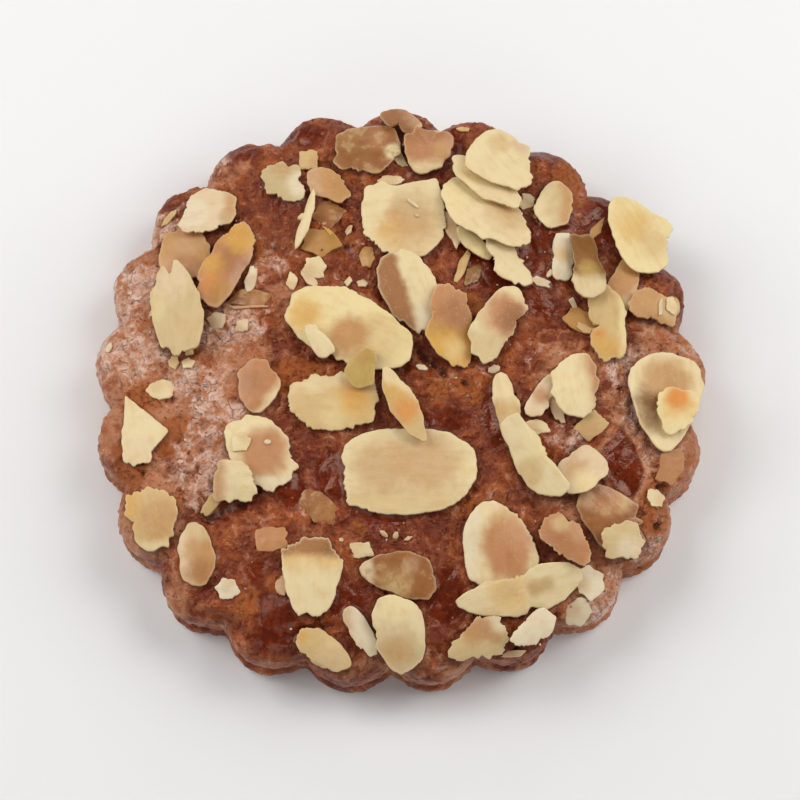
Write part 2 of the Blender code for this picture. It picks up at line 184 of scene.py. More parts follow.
class CrustSettings(bpy.types.PropertyGroup):
    """Sizes and colours of the baked crust."""

    cells: IntProperty(name="Cells", description="Cells along one side of the top", default=236, min=40)
    plates: length("Plates", 4.6, "Width of the plates between the crust's cracks")
    crack: length("Cracks", 0.5, "Depth of the cracks between plates")
    crags: length("Crags", 0.36, "Height of the open, crumbly patches")
    lift: length("Lift", 1.0, "How far the crust rises to meet an almond slice that lies over it")
    russet: colour("Russet", "#772A0C", "Dark red-brown of the middle")
    chestnut: colour("Chestnut", "#A9531F", "Plain brown of the crust")
    copper: colour("Copper", "#B2643A", "Orange brown of thin glaze")
    # the biscuit tone also paints the sheen on the flanks and the highlight on ridges
    biscuit: colour("Biscuit", "#C0805A", "Paler brown of the flanks")
    # painted sheen: the pale pinkish colour that the side lights leave on the flanks
    bloom: colour("Bloom", "#EAC3AF", "Dull pinkish skin on the flanks")
    amber: colour("Amber", "#A15A22", "Open crumb in torn places")
    # mahogany also paints the shade in the creases between lumps and the shadow round the slices
    mahogany: colour("Mahogany", "#56190A", "Thick, dark egg glaze")
    # painted shade at the bottom of cracks, pits and creases
    crevice: colour("Crevice", "#3A140B", "Bottom of cracks and pits")


class AlmondSettings(bpy.types.PropertyGroup):
    """Sizes and tones of the almonds."""

    thickness: length("Thickness", 0.62, "Thickness of a slice")
    sink: length("Sink", 0.25, "How much lower than its solid a slice lies")
    spacing: length("Spacing", 0.24, "Spacing of the points along a slice's rim")
    rag: length("Rag", 0.5, "Depth of the teeth of a broken rim")
    cream: colour("Cream", "#ECD6A6", "Plain almond")
    butter: colour("Butter", "#EFD9A0", "Yellow almond")
    white: colour("White", "#EAD9B8", "Freshly broken almond")
    pale: colour("Pale", "#E6CCA5", "Pinkish white almond")
    straw: colour("Straw", "#D6BB88", "Almond with a little colour")
    sand: colour("Sand", "#D9B87F", "Lightly toasted almond")
    tan: colour("Tan", "#C8955E", "Thin almond over the crust")
    toast: colour("Toast", "#B98746", "Toasted almond")
    golden: colour("Golden", "#DDA84E", "Golden stain")
    orange: colour("Orange", "#E0903F", "Orange stain")
    rose: colour("Rose", "#C3875A", "Glazed almond")
    pink: colour("Pink", "#D2A883", "Pinkish stain")
    brown: colour("Brown", "#A2683B", "Almond under thick glaze")
    umber: colour("Umber", "#84551F", "Deep stain")
    olive: colour("Olive", "#C6A55B", "Olive yellow almond")
    grey: colour("Grey", "#CCB384", "Dull almond")
    toasting: colour("Toasting", "#DDB67D", "Tint of the fine streaks")


class StageSettings(bpy.types.PropertyGroup):
    """Camera, light and floor."""

    elevation: FloatProperty(
        name="Elevation", description="Camera above the horizon", subtype="ANGLE", default=math.radians(75)
    )
    view_width: length("View width", 136.0, "Width of the view at the cookie")
    lens: FloatProperty(name="Lens", description="Focal length", subtype="DISTANCE_CAMERA", default=100.0)
    side_power: power("Side light", 0.95, "Power of each side light")
    end_power: power("End light", 0.5, "Power of the front and back light")
    sheen_power: power("Sheen light", 0.85, "Power of each high light")
    fill: FloatProperty(name="Fill", description="Strength of the light from all round", default=0.1)
    floor: colour("Floor", "#F6F5F4", "Colour of the floor")


# ---------------------------------------------------------------- material recipes


class Value:
    """A value socket, so that maths on it reads as maths."""

    def __init__(self, recipe, socket):
        self.recipe = recipe
        self.socket = socket

    def _maths(self, operation, first, second):
        return self.recipe.value("ShaderNodeMath", {"operation": operation}, {0: first, 1: second})

    def __add__(self, other):
        return self._maths("ADD", self, other)

    __radd__ = __add__

    def __mul__(self, other):
        return self._maths("MULTIPLY", self, other)

    __rmul__ = __mul__

    def __sub__(self, other):
        return self._maths("SUBTRACT", self, other)

    def __rsub__(self, other):
        return self._maths("SUBTRACT", other, self)

    def band(self, low, high):
        """0 below low, 1 above high, smooth between."""
        settings = {"interpolation_type": "SMOOTHSTEP", "clamp": True}
        sockets = {"Value": self, "From Min": low, "From Max": high}
        return self.recipe.value("ShaderNodeMapRange", settings, sockets, "Result")

    def at_most(self, other):
        return self._maths("MINIMUM", self, other)


class Recipe:
    """A material and the nodes that make it."""

    def __init__(self, name):
        self.material = bpy.data.materials.new(name)
        self.material.use_nodes = True
        self.tree = self.material.node_tree
        self.shader = self.tree.nodes["Principled BSDF"]

    def node(self, kind, settings=None, sockets=None):
        """A node of a kind, its settings made first, then its sockets' values or links."""
        made = self.tree.nodes.new(kind)
        for name, setting in (settings or {}).items():
            setattr(made, name, setting)
        for name, given in (sockets or {}).items():
            self.feed(made.inputs[name], given)
        return made

    def feed(self, socket, given):
        """Links or sets one input socket."""
        if isinstance(given, Value):
            given = given.socket
        if isinstance(given, bpy.types.NodeSocket):
            self.tree.links.new(given, socket)
        elif socket.type == "RGBA":
            socket.default_value = (*given, 1.0)
        else:
            socket.default_value = given

    def value(self, kind, settings=None, sockets=None, output=0):
        """The value that a node gives."""
        return Value(self, self.node(kind, settings, sockets).outputs[output])

    def painted(self, name, output="Fac"):
        """A value, or a colour or vector, painted on the mesh."""
        return self.value("ShaderNodeAttribute", {"attribute_name": name}, None, output)

    def place(self):
        """The point of the surface, in metres."""
        return self.node("ShaderNodeTexCoord").outputs["Object"]

    def vector(self, operation, sockets):
        """The vector that a vector maths node gives."""
        return self.node("ShaderNodeVectorMath", {"operation": operation}, sockets).outputs[0]

    def grain(self, vector, scale, detail=3.0, roughness=0.5, distortion=0.0):
        """Noise, about 0.3 to 0.7."""
        sockets = {"Vector": vector, "Scale": scale, "Detail": detail, "Roughness": roughness}
        return self.value("ShaderNodeTexNoise", None, {**sockets, "Distortion": distortion}, "Fac")

    def cells(self, vector, scale, feature="F1", output="Distance"):
        """Distance from the middle of a cell, or to its edge, or each cell's own shade."""
        sockets = {"Vector": vector, "Scale": scale}
        return self.value("ShaderNodeTexVoronoi", {"feature": feature}, sockets, output)

    def bent(self, vector, scale, amount):
        """A vector pushed about by noise."""
        noisy = self.node("ShaderNodeTexNoise", None, {"Vector": vector, "Scale": scale}).outputs["Color"]
        push = self.vector("SCALE", {0: noisy, "Scale": amount})
        return self.vector("ADD", {0: vector, 1: push})

    def mix(self, share, first, second, blend="MIX"):
        """The second colour over the first, by a share."""
        settings = {"data_type": "RGBA", "blend_type": blend}
        made = self.node("ShaderNodeMix", settings, {"Factor": share})
        self.feed(made.inputs[6], first)
        self.feed(made.inputs[7], second)
        return made.outputs[2]

    def bumped(self, height, distance, strength=1.0):
        """Normals roughened by a height."""
        sockets = {"Height": height, "Distance": distance, "Strength": strength}
        return self.node("ShaderNodeBump", None, sockets).outputs["Normal"]

    def finish(self, **sockets):
        """Feeds the shader's sockets, named with an underscore for each space, and gives the material."""
        for name, given in sockets.items():
            self.feed(self.shader.inputs[name.replace("_", " ")], given)
        return self.material


def crust_material(tones):
    """Baked crust: russet middle, flanks paler with painted sheen and pinkish patches of painted sheen over
    a dull cracked skin, lighter ridges as painted highlight, torn amber crumb, dark glaze, painted shade in
    cracks and creases and painted shadow round the slices.
    """
    recipe = Recipe("baked_crust")
    place = recipe.place()
    broad = recipe.grain(place, 150, 3, 0.5, 0.4)
    mottle = recipe.grain(place, 430, 4, 0.62, 0.6)
    fine = recipe.grain(place, 1300, 3, 0.62, 0.4)
    grit = recipe.grain(place, 3600, 2, 0.6)
    pores = recipe.cells(place, 1000)
    bent = recipe.bent(place, 420, 0.0036)
    shard = recipe.cells(bent, 430, output="Color")
    rift = recipe.cells(bent, 430, "DISTANCE_TO_EDGE")
    painted = ("bloom", "crumb", "glaze", "flank", "crevice", "ridge", "near", "swell")
    bloom, crumb, glaze, flank, crevice, ridge, near, swell = (recipe.painted(name) for name in painted)
    # Unevenness about 0, which breaks up the borders of the painted patches
    blotch = mottle - 0.5
    speckle = fine - 0.5
    brittle = (0.2 + 0.6 * bloom + 0.7 * crumb + 0.25 * flank).at_most(1.0)
    crack = (1 - rift.band(0.0, 0.07)) * brittle * mottle.band(0.49, 0.6)

    # Plain crust, darker in the creases between its lumps: pooled glaze and painted shade
    skin = recipe.mix((0.6 * broad + 0.4 * mottle).band(0.42, 0.60), tones.russet, tones.chestnut)
    skin = recipe.mix(0.8 * (mottle + 0.5 * speckle).band(0.52, 0.66), skin, tones.copper)
    skin = recipe.mix(0.5 * (1 - (0.5 * mottle + 0.5 * fine).band(0.36, 0.46)), skin, tones.mahogany)
    skin = recipe.mix(0.4 * (1 - swell).band(0.35, 0.8), skin, tones.mahogany)
    # Flanks paler where they face the side lights, and ridges lighter: painted sheen and painted highlight
    grain = 0.4 * mottle + 0.4 * fine + 0.2 * shard
    pale = recipe.mix(grain.band(0.36, 0.54), tones.copper, tones.biscuit)
    skin = recipe.mix((flank + 1.3 * blotch).band(0.2, 1.0), skin, pale)
    skin = recipe.mix(0.6 * ridge * fine.band(0.42, 0.6), skin, tones.biscuit)
    # Open crumb
    torn = recipe.mix(fine.band(0.42, 0.58), tones.chestnut, tones.amber)
    skin = recipe.mix(0.8 * (crumb + 1.6 * blotch + 0.5 * speckle).band(0.35, 0.9), skin, torn)
    # Pale pinkish patches on the flanks: painted sheen of the side lights over the dull cracked skin
    grain = 0.65 * mottle + 0.25 * fine + 0.1 * shard
    dull = recipe.mix(grain.band(0.4, 0.6), tones.biscuit, tones.bloom)
    lit = 0.85 * bloom + 1.2 * (broad - 0.5) + 2.2 * blotch + 0.6 * speckle + 0.3 * (shard - 0.5)
    skin = recipe.mix(0.9 * lit.band(0.2, 1.0), skin, dull)
    # Egg glaze
    thick = recipe.mix((0.6 * mottle + 0.4 * fine).band(0.42, 0.58), tones.mahogany, tones.russet)
    skin = recipe.mix((glaze + 1.5 * blotch + 0.5 * speckle).band(0.35, 0.95), skin, thick)
    # Painted shade in the pores, painted shadow round the slices, and painted shade in the cracks and
    # crevices
    pore = (1 - pores.band(0.08, 0.3)) * (1 - glaze) * mottle.band(0.45, 0.6)
    skin = recipe.mix(0.6 * pore, skin, tones.crevice)
    # Painted shadow round the slices, where they lie on the crust
    skin = recipe.mix(0.6 * (near + 0.5 * blotch).band(0.15, 1.0), skin, tones.mahogany)
    skin = recipe.mix(0.45 * crack, skin, tones.russet)
    dark = recipe.mix(crevice.band(0.5, 0.9), tones.mahogany, tones.crevice)
    skin = recipe.mix(0.8 * crevice.band(0.25, 1.0) * (1 - 0.6 * bloom), skin, dark)

    shine = (0.35 * flank + 0.45 * bloom + 0.85 * glaze).at_most(1.0)
    rough = 0.39 - 0.21 * shine + 0.16 * crumb + 0.4 * speckle
    height = 0.45 * fine + 0.12 * grit + 0.9 * mottle - 0.3 * (1 - pores.band(0.05, 0.35))
    height = height + brittle * (0.6 * shard - 0.3 * crack)
    normal = recipe.bumped(height * (1 - 0.85 * glaze), 0.0006)
    recipe.shader.inputs["Specular IOR Level"].default_value = 0.5
    recipe.shader.inputs["Specular Tint"].default_value = (1.0, 0.72, 0.58, 1.0)
    return recipe.finish(Base_Color=skin, Roughness=rough, Normal=normal)


def almond_material(tones):
    """Almond: waxy, finely streaked along the slice, glossy where it is glazed."""
    recipe = Recipe("flaked_almond")
    place = recipe.place()
    along = recipe.vector("MULTIPLY", {0: recipe.painted("grain", "Vector"), 1: (0.22, 1.0, 1.0)})
    streaks = recipe.grain(along, 1.0, 3, 0.6)
    mottle = recipe.grain(place, 420, 3, 0.55)
    fine = recipe.grain(place, 2300, 2, 0.6)
    glaze = recipe.painted("glaze")
    tone = recipe.painted("tone", "Color")
    mild = 0.3 * (0.45 * streaks + 0.55 * mottle).band(0.42, 0.72)
    skin = recipe.mix(mild, tone, tones.toasting, "MULTIPLY")
    # Pale specks where the slice isn't glazed: painted highlights
    skin = recipe.mix(0.2 * (1 - glaze) * fine.band(0.55, 0.75), skin, tones.cream)
    soaked = glaze.band(0.45, 0.9)
    skin = recipe.mix(0.4 * soaked * (0.7 * mottle + 0.3 * fine).band(0.5, 0.62), skin, tones.umber)
    skin = recipe.mix(0.35 * soaked * (1 - mottle.band(0.36, 0.46)), skin, tones.straw)
    rough = 0.50 - 0.2 * glaze + 0.25 * (fine - 0.5)
    coat = 0.5 * glaze * mottle.band(0.3, 0.6)
    height = 0.5 * streaks + 0.4 * mottle + 0.25 * fine
    recipe.shader.inputs["Coat Roughness"].default_value = 0.2
    recipe.shader.inputs["Specular Tint"].default_value = (1.0, 0.9, 0.74, 1.0)
    recipe.shader.inputs["Subsurface Weight"].default_value = 0.12
    recipe.shader.inputs["Subsurface Radius"].default_value = (1.0, 0.7, 0.4)
    recipe.shader.inputs["Subsurface Scale"].default_value = 0.0008
    normal = recipe.bumped(height, 0.00012)
    return recipe.finish(Base_Color=skin, Roughness=rough, Coat_Weight=coat, Normal=normal)


def floor_material(tones):
    """A plain pale floor with the slightest unevenness of tone."""
    recipe = Recipe("pale_floor")
    cloud = recipe.grain(recipe.place(), 3, 2)
    skin = recipe.mix(0.1 * cloud, tones.floor, (0.88, 0.88, 0.88))
    return recipe.finish(Base_Color=skin, Roughness=0.9)


# ---------------------------------------------------------------- shaping helpers


def smoothstep(low, high, value):
    share = np.clip((value - low) / (high - low), 0.0, 1.0)
    return share * share * (3 - 2 * share)


def noise_at(points, size, seed=0.0):
    """Smooth noise, -1 to 1, at points."""
    return np.array([noise.noise(point) for point in (points / size + seed).tolist()])


def rough_at(points, size, seed=0.0, octaves=4):
    """Rougher noise in several sizes, about -1 to 1."""
    found = (points / size + seed).tolist()
    return np.array([noise.fractal(point, 0.9, 2.0, octaves) for point in found])


def warped(points, size, amount, seed=0.0):
    """Points pushed about by smooth noise."""
    push = [noise_at(points, size, seed + shift) for shift in (0.0, 31.4, 73.7)]
    return points + amount * np.stack(push, axis=1)


def plates_at(points, size, seed=0.0):
    """Cells of about a size: each point's gap to the border, its cell's own number, 0 to 1, and its height
    when each cell leans its own way."""
    found = [noise.voronoi(point) for point in (points / size + seed).tolist()]
    gaps = np.array([distances[1] - distances[0] for distances, _ in found])
    middles = np.array([tuple(places[0]) for _, places in found])
    numbers = np.sin(middles @ np.array((12.99, 78.23, 37.72))) * 437.585
    numbers -= np.floor(numbers)
    off = (points / size + seed - middles) * size
    return gaps, numbers, off[:, 0] * np.cos(40 * numbers) + off[:, 1] * np.sin(40 * numbers)


def deselect_all():
    if bpy.context.mode != "OBJECT":
        bpy.ops.object.mode_set(mode="OBJECT")
    bpy.ops.object.select_all(action="DESELECT")


def named(name):
    """The object just added, under its own name."""
    thing = bpy.context.object
    thing.name = name
    thing.data.name = name
    return thing


def positions(mesh):
    found = np.empty(len(mesh.vertices) * 3, np.float32)
    mesh.vertices.foreach_get("co", found)
    return found.reshape(-1, 3).astype(float)


def place_points(mesh, points):
    """Moves a mesh's points, given in mm, to their places."""
    mesh.vertices.foreach_set("co", (points * MM).astype(np.float32).ravel())
    mesh.update()


def normals(mesh):
    found = np.empty(len(mesh.vertices) * 3, np.float32)
    mesh.vertex_normals.foreach_get("vector", found)
    return found.reshape(-1, 3).astype(float)


def paint(mesh, name, values):
    """Stores one value for each point of a mesh."""
    layer = mesh.attributes.new(name, "FLOAT", "POINT")
    layer.data.foreach_set("value", np.asarray(values, np.float32))


def paint_colour(mesh, name, colours):
    layer = mesh.attributes.new(name, "FLOAT_COLOR", "POINT")
    opaque = np.concatenate((colours, np.ones((len(colours), 1))), axis=1)
    layer.data.foreach_set("color", opaque.astype(np.float32).ravel())


def paint_vector(mesh, name, vectors):
    layer = mesh.attributes.new(name, "FLOAT_VECTOR", "POINT")
    layer.data.foreach_set("vector", np.asarray(vectors, np.float32).ravel())


def finished(thing, material, slot, *replaced):
    """Smooths a piece, gives it its material, and ties it to the frame."""
    thing.data.materials.clear()
    thing.data.materials.append(material)
    deselect_all()
    thing.select_set(True)
    bpy.context.view_layer.objects.active = thing
    bpy.ops.object.shade_smooth()
    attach(thing, BODY)
    if replaced:
        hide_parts(*replaced)
    return thing


def curve_through(points, spacing):
    """Points at even spacing along a smooth line through the given ones."""
    points = np.asarray(points, float)
    tangent = (np.vstack((points[1:], points[-1:])) - np.vstack((points[:1], points[:-1]))) / 2
    line = []
    for i in range(len(points) - 1):
        for t in np.linspace(0, 1, 24, endpoint=False):
            line.append(
                (2 * t**3 - 3 * t**2 + 1) * points[i]
                + (t**3 - 2 * t**2 + t) * tangent[i]
                + (3 * t**2 - 2 * t**3) * points[i + 1]
                + (t**3 - t**2) * tangent[i + 1]
            )
    return resampled(np.array([*line, points[-1]]), spacing)


def resampled(line, spacing):
    """Points at even spacing along a line. A whole number as spacing is how many of them there are."""
    run = np.concatenate(((0.0,), np.cumsum(np.linalg.norm(np.diff(line, axis=0), axis=1))))
    count = spacing if isinstance(spacing, int) else round(run[-1] / spacing)
    stops = np.linspace(0, run[-1], count)
    return np.stack([np.interp(stops, run, line[:, axis]) for axis in (0, 1)], axis=1)


# ---------------------------------------------------------------- crust


class Patch(NamedTuple):
    """A patch of the crust: its middle and half length in mm, its half width, its turn in degrees."""

    x: float
    y: float
    size: float
    width: float = 0.0
    turn: float = 0.0
    strength: float = 1.0


class Crack(NamedTuple):
    """A fissure: middle, length, turn and depth."""

    x: float
    y: float
    length: float
    turn: float
    depth: float


# Fissures of the solid, measured from the middle of the ring of flutes
CRACKS = (
    Crack(-37.9, -1.0, 7.0, -70.0, 1.3),
    Crack(-28.4, -22.0, 8.0, 20.0, 1.3),
    Crack(-13.4, -41.5, 9.0, 10.0, 1.0),
    Crack(6.6, 2.5, 7.0, -40.0, 1.2),
    Crack(30.6, -10.5, 6.0, 40.0, 1.0),
    Crack(-8.4, 24.0, 9.0, -75.0, 1.0),
)

# Patches are measured from the origin
# Patches of pale pinkish painted sheen on the flanks, where the skin is also more cracked
SHEEN_BLOOM = (
    Patch(-44, 16, 7, 6),
    Patch(-46, 5, 8, 6),
    Patch(-38, 9, 5, 4, strength=0.8),
    Patch(-29, 9, 7, 5, 20),
    Patch(-34, -1, 6, 5),
    Patch(-30, -7, 6, 5, strength=0.8),
    Patch(-33, -15, 6, 7),
    Patch(-30, -22, 5, 3, strength=0.55),
    Patch(-41, 28, 5, 3, 45),
    Patch(-33, 40, 4, 3, strength=0.8),
    Patch(24, 3, 5, 4, strength=0.4),
    Patch(38, 2, 5, 6, strength=0.65),
    Patch(40, -7, 4, 8, 10, strength=0.85),
    Patch(44, -12, 4, 3, strength=0.8),
    Patch(33, -37, 6, 4, 30, strength=0.85),
    Patch(28, -10, 5, 4, strength=0.5),
    Patch(-22, 20, 4, 5, strength=0.5),
    Patch(48, 6, 3, 5, strength=0.35),
    Patch(41, -29, 4, 5, strength=0.6),
)
# Where the flanks face the side lights: a paler painted sheen, and a glossier, more cracked crust
FLANK = (
    Patch(-46, 8, 15, 22),
    Patch(-34, 0, 14, 16),
    Patch(-42, -22, 10, 12, strength=0.7),
    Patch(-36, -36, 8, 6, strength=0.45),
    Patch(46, -8, 13, 22),
    Patch(36, -36, 12, 10),
    Patch(-32, 38, 8, 6, strength=0.5),
    Patch(29, 1, 8, 7, strength=0.7),
    Patch(30, -22, 9, 8, strength=0.6),
    Patch(41, -30, 6, 7, strength=0.8),
    Patch(-20, 14, 7, 9, strength=0.45),
    Patch(8, -48, 24, 4, strength=0.5),
)
CRUMB = (
    Patch(9, -3, 5, 4),
    Patch(12, 12, 3, 4, strength=0.8),
    Patch(-21, -37, 8, 4, 20),
    Patch(-43, -3, 4, 3),
    Patch(-36, -10, 6, 4),
    Patch(-29, -12, 4, 3, strength=0.8),
    Patch(-17, 0, 5, 4),
    Patch(-25, 22, 4, 5, strength=0.6),
    Patch(-12, 38, 5, 3, strength=0.8),
    Patch(-24, 44, 5, 2, 25, strength=0.7),
    Patch(42, -21, 3, 6, -10),
    Patch(40, -29, 3, 5, -20),
    Patch(30, 36, 4, 6, 25, strength=0.8),
    Patch(10, -22, 6, 3, strength=0.7),
    Patch(-45, -16, 3, 6),
    Patch(20, -44, 6, 3, 20, strength=0.6),
    Patch(-7, -24, 4, 3, strength=0.6),
)
GLAZE = (
    Patch(37, -15, 3.4, 6.5, 8, strength=1.2),
    Patch(18, 20, 10, 10, strength=0.9),
    Patch(27, 25, 6, 6, strength=0.8),
    Patch(8, 42, 5, 5, strength=0.9),
    Patch(34, 28, 4, 7, -20, strength=0.9),
    Patch(-27, 41, 4, 3, strength=0.7),
    Patch(-16, 44, 5, 3, strength=0.8),
    Patch(-20, -41, 5, 7, -20, strength=0.9),
    Patch(-32, -37, 6, 3, 20, strength=0.4),
    Patch(-11, -17, 5, 5, strength=0.9),
    Patch(-3, -23, 6, 3, strength=0.9),
    Patch(8, -37, 4, 6, strength=0.9),
    Patch(-9, -37, 4, 5, strength=0.7),
    Patch(8, -8, 5, 5, strength=0.8),
    Patch(16, -8, 3, 9, strength=0.6),
    Patch(23, 13, 5, 3, -10, strength=0.8),
    Patch(-3, 22, 6, 6, strength=0.6),
    Patch(-19, 31, 5, 4, strength=0.5),
    Patch(22, 42, 8, 3, -20, strength=0.8),
    Patch(44, 20, 4, 5, 20, strength=0.5),
    Patch(-18, -19, 4, 4, strength=0.8),
    Patch(-25, -33, 5, 4, strength=0.55),
    Patch(-26, 37, 5, 4, strength=0.5),
)


def plain_radius(angle):
    """Outline of the cookie over its flute tips."""
    waves = sum(depth * np.cos(count * angle - math.radians(turn)) for count, depth, turn in OUTLINE_WAVES)
    return 1 / np.hypot(np.cos(angle) / HALF_WIDTH, np.sin(angle) / HALF_DEPTH) + waves


def groove(angle):
    """1 in the groove between two flutes, 0 at a flute's tip."""
    return 1 - np.abs(np.cos(FLUTES / 2 * (angle - FLUTE_TURN)))


def outline_radius(angle, inset):
    """Radius at an inset from the outline. The flutes fade towards the middle."""
    fade = np.exp(-np.maximum(0.0, inset - 2) / GROOVE_REACH)
    return plain_radius(angle) * (1 - inset / HALF_DEPTH) - FLUTE_DEPTH * groove(angle) * fade


def crack_depth(x, y, breadth=1.2):
    """How much the fissures lower the crust."""
    depth = np.zeros_like(x)
    for crack in CRACKS:
        turn = math.radians(crack.turn)
        along = (x - crack.x) * math.cos(turn) + (y - crack.y) * math.sin(turn)
        across = (y - crack.y) * math.cos(turn) - (x - crack.x) * math.sin(turn)
        depth += crack.depth * np.exp(-((2 * along / crack.length) ** 4) - (across / breadth) ** 2)
    return depth


def crown_height(x, y):
    """Height of the top crust of the solid, inside the shoulder."""
    angle = np.arctan2(y, x)
    share = np.hypot(x, y) / plain_radius(angle)
    lumps = 0.0
    for size, height in LUMPS:
        lumps = lumps + height * noise_at(np.stack((x, y, np.full_like(x, size * size)), axis=1), size)
    inset = (1 - share) * HALF_DEPTH
    notch = GROOVE_DEPTH * groove(angle) ** 1.5 * np.exp(-((inset / GROOVE_REACH) ** 2))
    return SHOULDER_HEIGHT + CROWN * (1 - share**2) + lumps - notch - crack_depth(x, y)


def patched(points, patches, seed):
    """How much of a patch each point has, 0 to 1, with uneven borders."""
    found = np.zeros(len(points))
    for patch in patches:
        turn = math.radians(patch.turn)
        x, y = points[:, 0] - patch.x, points[:, 1] - patch.y
        along = x * math.cos(turn) + y * math.sin(turn)
        across = y * math.cos(turn) - x * math.sin(turn)
        reach = np.hypot(along / patch.size, across / (patch.width or patch.size))
        found = np.maximum(found, patch.strength * np.exp(-(reach**3)))
    uneven = 0.3 * rough_at(warped(points, 5.0, 2.4, seed), 4.0, seed)
    return np.clip(smoothstep(0.15, 0.75, found + uneven * np.minimum(1.0, 3 * found)), 0, 1)


def disc_share(a, b):
    """Where points of a square of half width 1 come to lie in a disc: share of its radius, and angle."""
    wide = np.abs(a) >= np.abs(b)
    reach = np.where(wide, a, b)
    safe = np.where(reach == 0, 1.0, reach)
    angle = np.where(wide, math.pi / 4 * b / safe, math.pi / 2 - math.pi / 4 * a / safe)
    return np.abs(reach), np.where(reach < 0, angle + math.pi, angle)


def crust_sheet(cells, rings):
    """A square grid whose rim is drawn down, one unit for each ring, and closed at the bottom."""
    deselect_all()
    bpy.ops.mesh.primitive_grid_add(x_subdivisions=cells, y_subdivisions=cells, size=2)
    sheet = named("baked_crust")
    bpy.ops.object.mode_set(mode="EDIT")
    bpy.ops.mesh.select_mode(type="EDGE")
    bpy.ops.mesh.select_all(action="DESELECT")
    bpy.ops.mesh.select_non_manifold()
    for _ in range(rings):
        bpy.ops.mesh.extrude_edges_move(TRANSFORM_OT_translate={"value": (0, 0, -1)})
    bpy.ops.mesh.edge_face_add()
    bpy.ops.object.mode_set(mode="OBJECT")
    return sheet


def crust_form(unit, profile, wall):
    """The plain form of the crust: points in mm from the middle of the ring of flutes."""
    share, angle = disc_share(unit[:, 0], unit[:, 1])
    ring = np.rint(-unit[:, 2]).astype(int)
    top = ring == 0
    inset = WALL_TOP[1] + (1 - share) * (HALF_DEPTH - WALL_TOP[1])
    sides = [tuple(point) for point in wall] + [(0.0, inset) for inset in SOLE_INSETS]
    heights = np.array([height for height, _ in sides])
    insets = np.array([inset for _, inset in sides])
    inset = np.where(top, inset, insets[np.maximum(ring, 1) - 1])
    radius = outline_radius(angle, inset)
    x, y = radius * np.cos(angle), radius * np.sin(angle)
    over = profile[profile[:, 0] >= WALL_TOP[0]]
    rounded = np.interp(inset, over[:, 1], over[:, 0])
    blend = smoothstep(2.0, 4.8, inset)
    z = np.where(top, (1 - blend) * rounded + blend * crown_height(x, y), heights[np.maximum(ring, 1) - 1])
    return np.stack((x, y, z), axis=1), top


def lumps_at(points, size, seed):
    """Rounded lumps with creases between them, about -0.5 to 0.5."""
    return 1.6 * np.abs(noise_at(points, size, seed)) - 0.45


def crust_relief(points, masks, settings):
    """Relief of the crust over its plain form, in mm: its fine part, and its swelling lumps."""
    bloom, crumb, glaze = masks["bloom"], masks["crumb"], masks["glaze"]
    calm = 1 - 0.75 * glaze
    bent = warped(points, 3.0, 1.1, 7.0)
    plates, level, lean = plates_at(bent, settings.plates / MM, 3.0)
    shard_size = settings.plates / MM * 0.36
    shards, shard_level, shard_lean = plates_at(warped(points, 1.4, 0.6, 17.0), shard_size, 9.0)
    crack = settings.crack / MM
    crags = settings.crags / MM
    broken = np.clip(0.3 + 0.45 * bloom + 0.4 * crumb, 0, 1) * calm
    cracked = smoothstep(0.0, 0.3, noise_at(points, 4.0, 23.0) + 0.06)
    splintered = smoothstep(0.0, 0.3, noise_at(points, 3.0, 29.0))
    fine = -crack * (1 - smoothstep(0.0, 0.12, plates)) * broken * cracked
    fine += (0.36 * (level - 0.5) + 0.12 * lean) * broken
    fine -= 0.5 * crack * (1 - smoothstep(0.0, 0.14, shards)) * broken * splintered
    fine += (0.22 * (shard_level - 0.5) + 0.26 * shard_lean) * (1 - 0.9 * glaze)
    fine += crags * rough_at(points, 1.7, 31.0, 5) * (0.45 + 0.8 * crumb) * calm
    fine += 0.8 * crags * lumps_at(bent, 2.1, 37.0) * (1 - 0.6 * glaze)
    pits = noise_at(points, 2.1, 53.0)
    fine -= 0.9 * smoothstep(0.42, 0.75, pits) * (0.35 + 0.65 * crumb) * calm
    swell = 1.4 * crags * lumps_at(bent, 5.2, 61.0) + 0.3 * noise_at(points, 8.0, 67.0)
    return fine, swell


def blurred(grid, passes):
    """A grid of values, each evened out with its neighbours."""
    for _ in range(passes):
        padded = np.pad(grid, 1, mode="edge")
        grid = (padded[:-2, 1:-1] + padded[2:, 1:-1] + padded[1:-1, :-2] + padded[1:-1, 2:] + 2 * grid) / 6
    return grid


def raised_to_slices(points, top, cells, slices, lift):
    """How far the crust rises at each point to meet the slices over it, and how near they are, 0 to 1."""
    count = cells + 1
    rise = np.zeros(len(points))
    near = np.zeros(len(points))
    limit = np.full(len(points), np.inf)
    fade_from, fade_to = 0.75 * lift, 1.5 * lift
    for i in np.flatnonzero(top):
        hit = slices.ray_cast(Vector((points[i, 0] * MM, points[i, 1] * MM, UNDER_CROWN)), UP)[0]
        if hit is None:
            continue
        gap = hit.z / MM - points[i, 2]
        near[i] = 1.0
        rise[i] = (gap + TOUCH) * (1 - float(smoothstep(fade_from, fade_to, gap)))
        limit[i] = gap + CLEARANCE
    rise[top] = blurred(rise[top].reshape(count, count), 3).ravel()
    # how near the slices are, which paints their shadow on the crust
    near[top] = np.minimum(1.0, 2 * blurred(near[top].reshape(count, count), 6)).ravel()
    return np.minimum(rise, limit), near


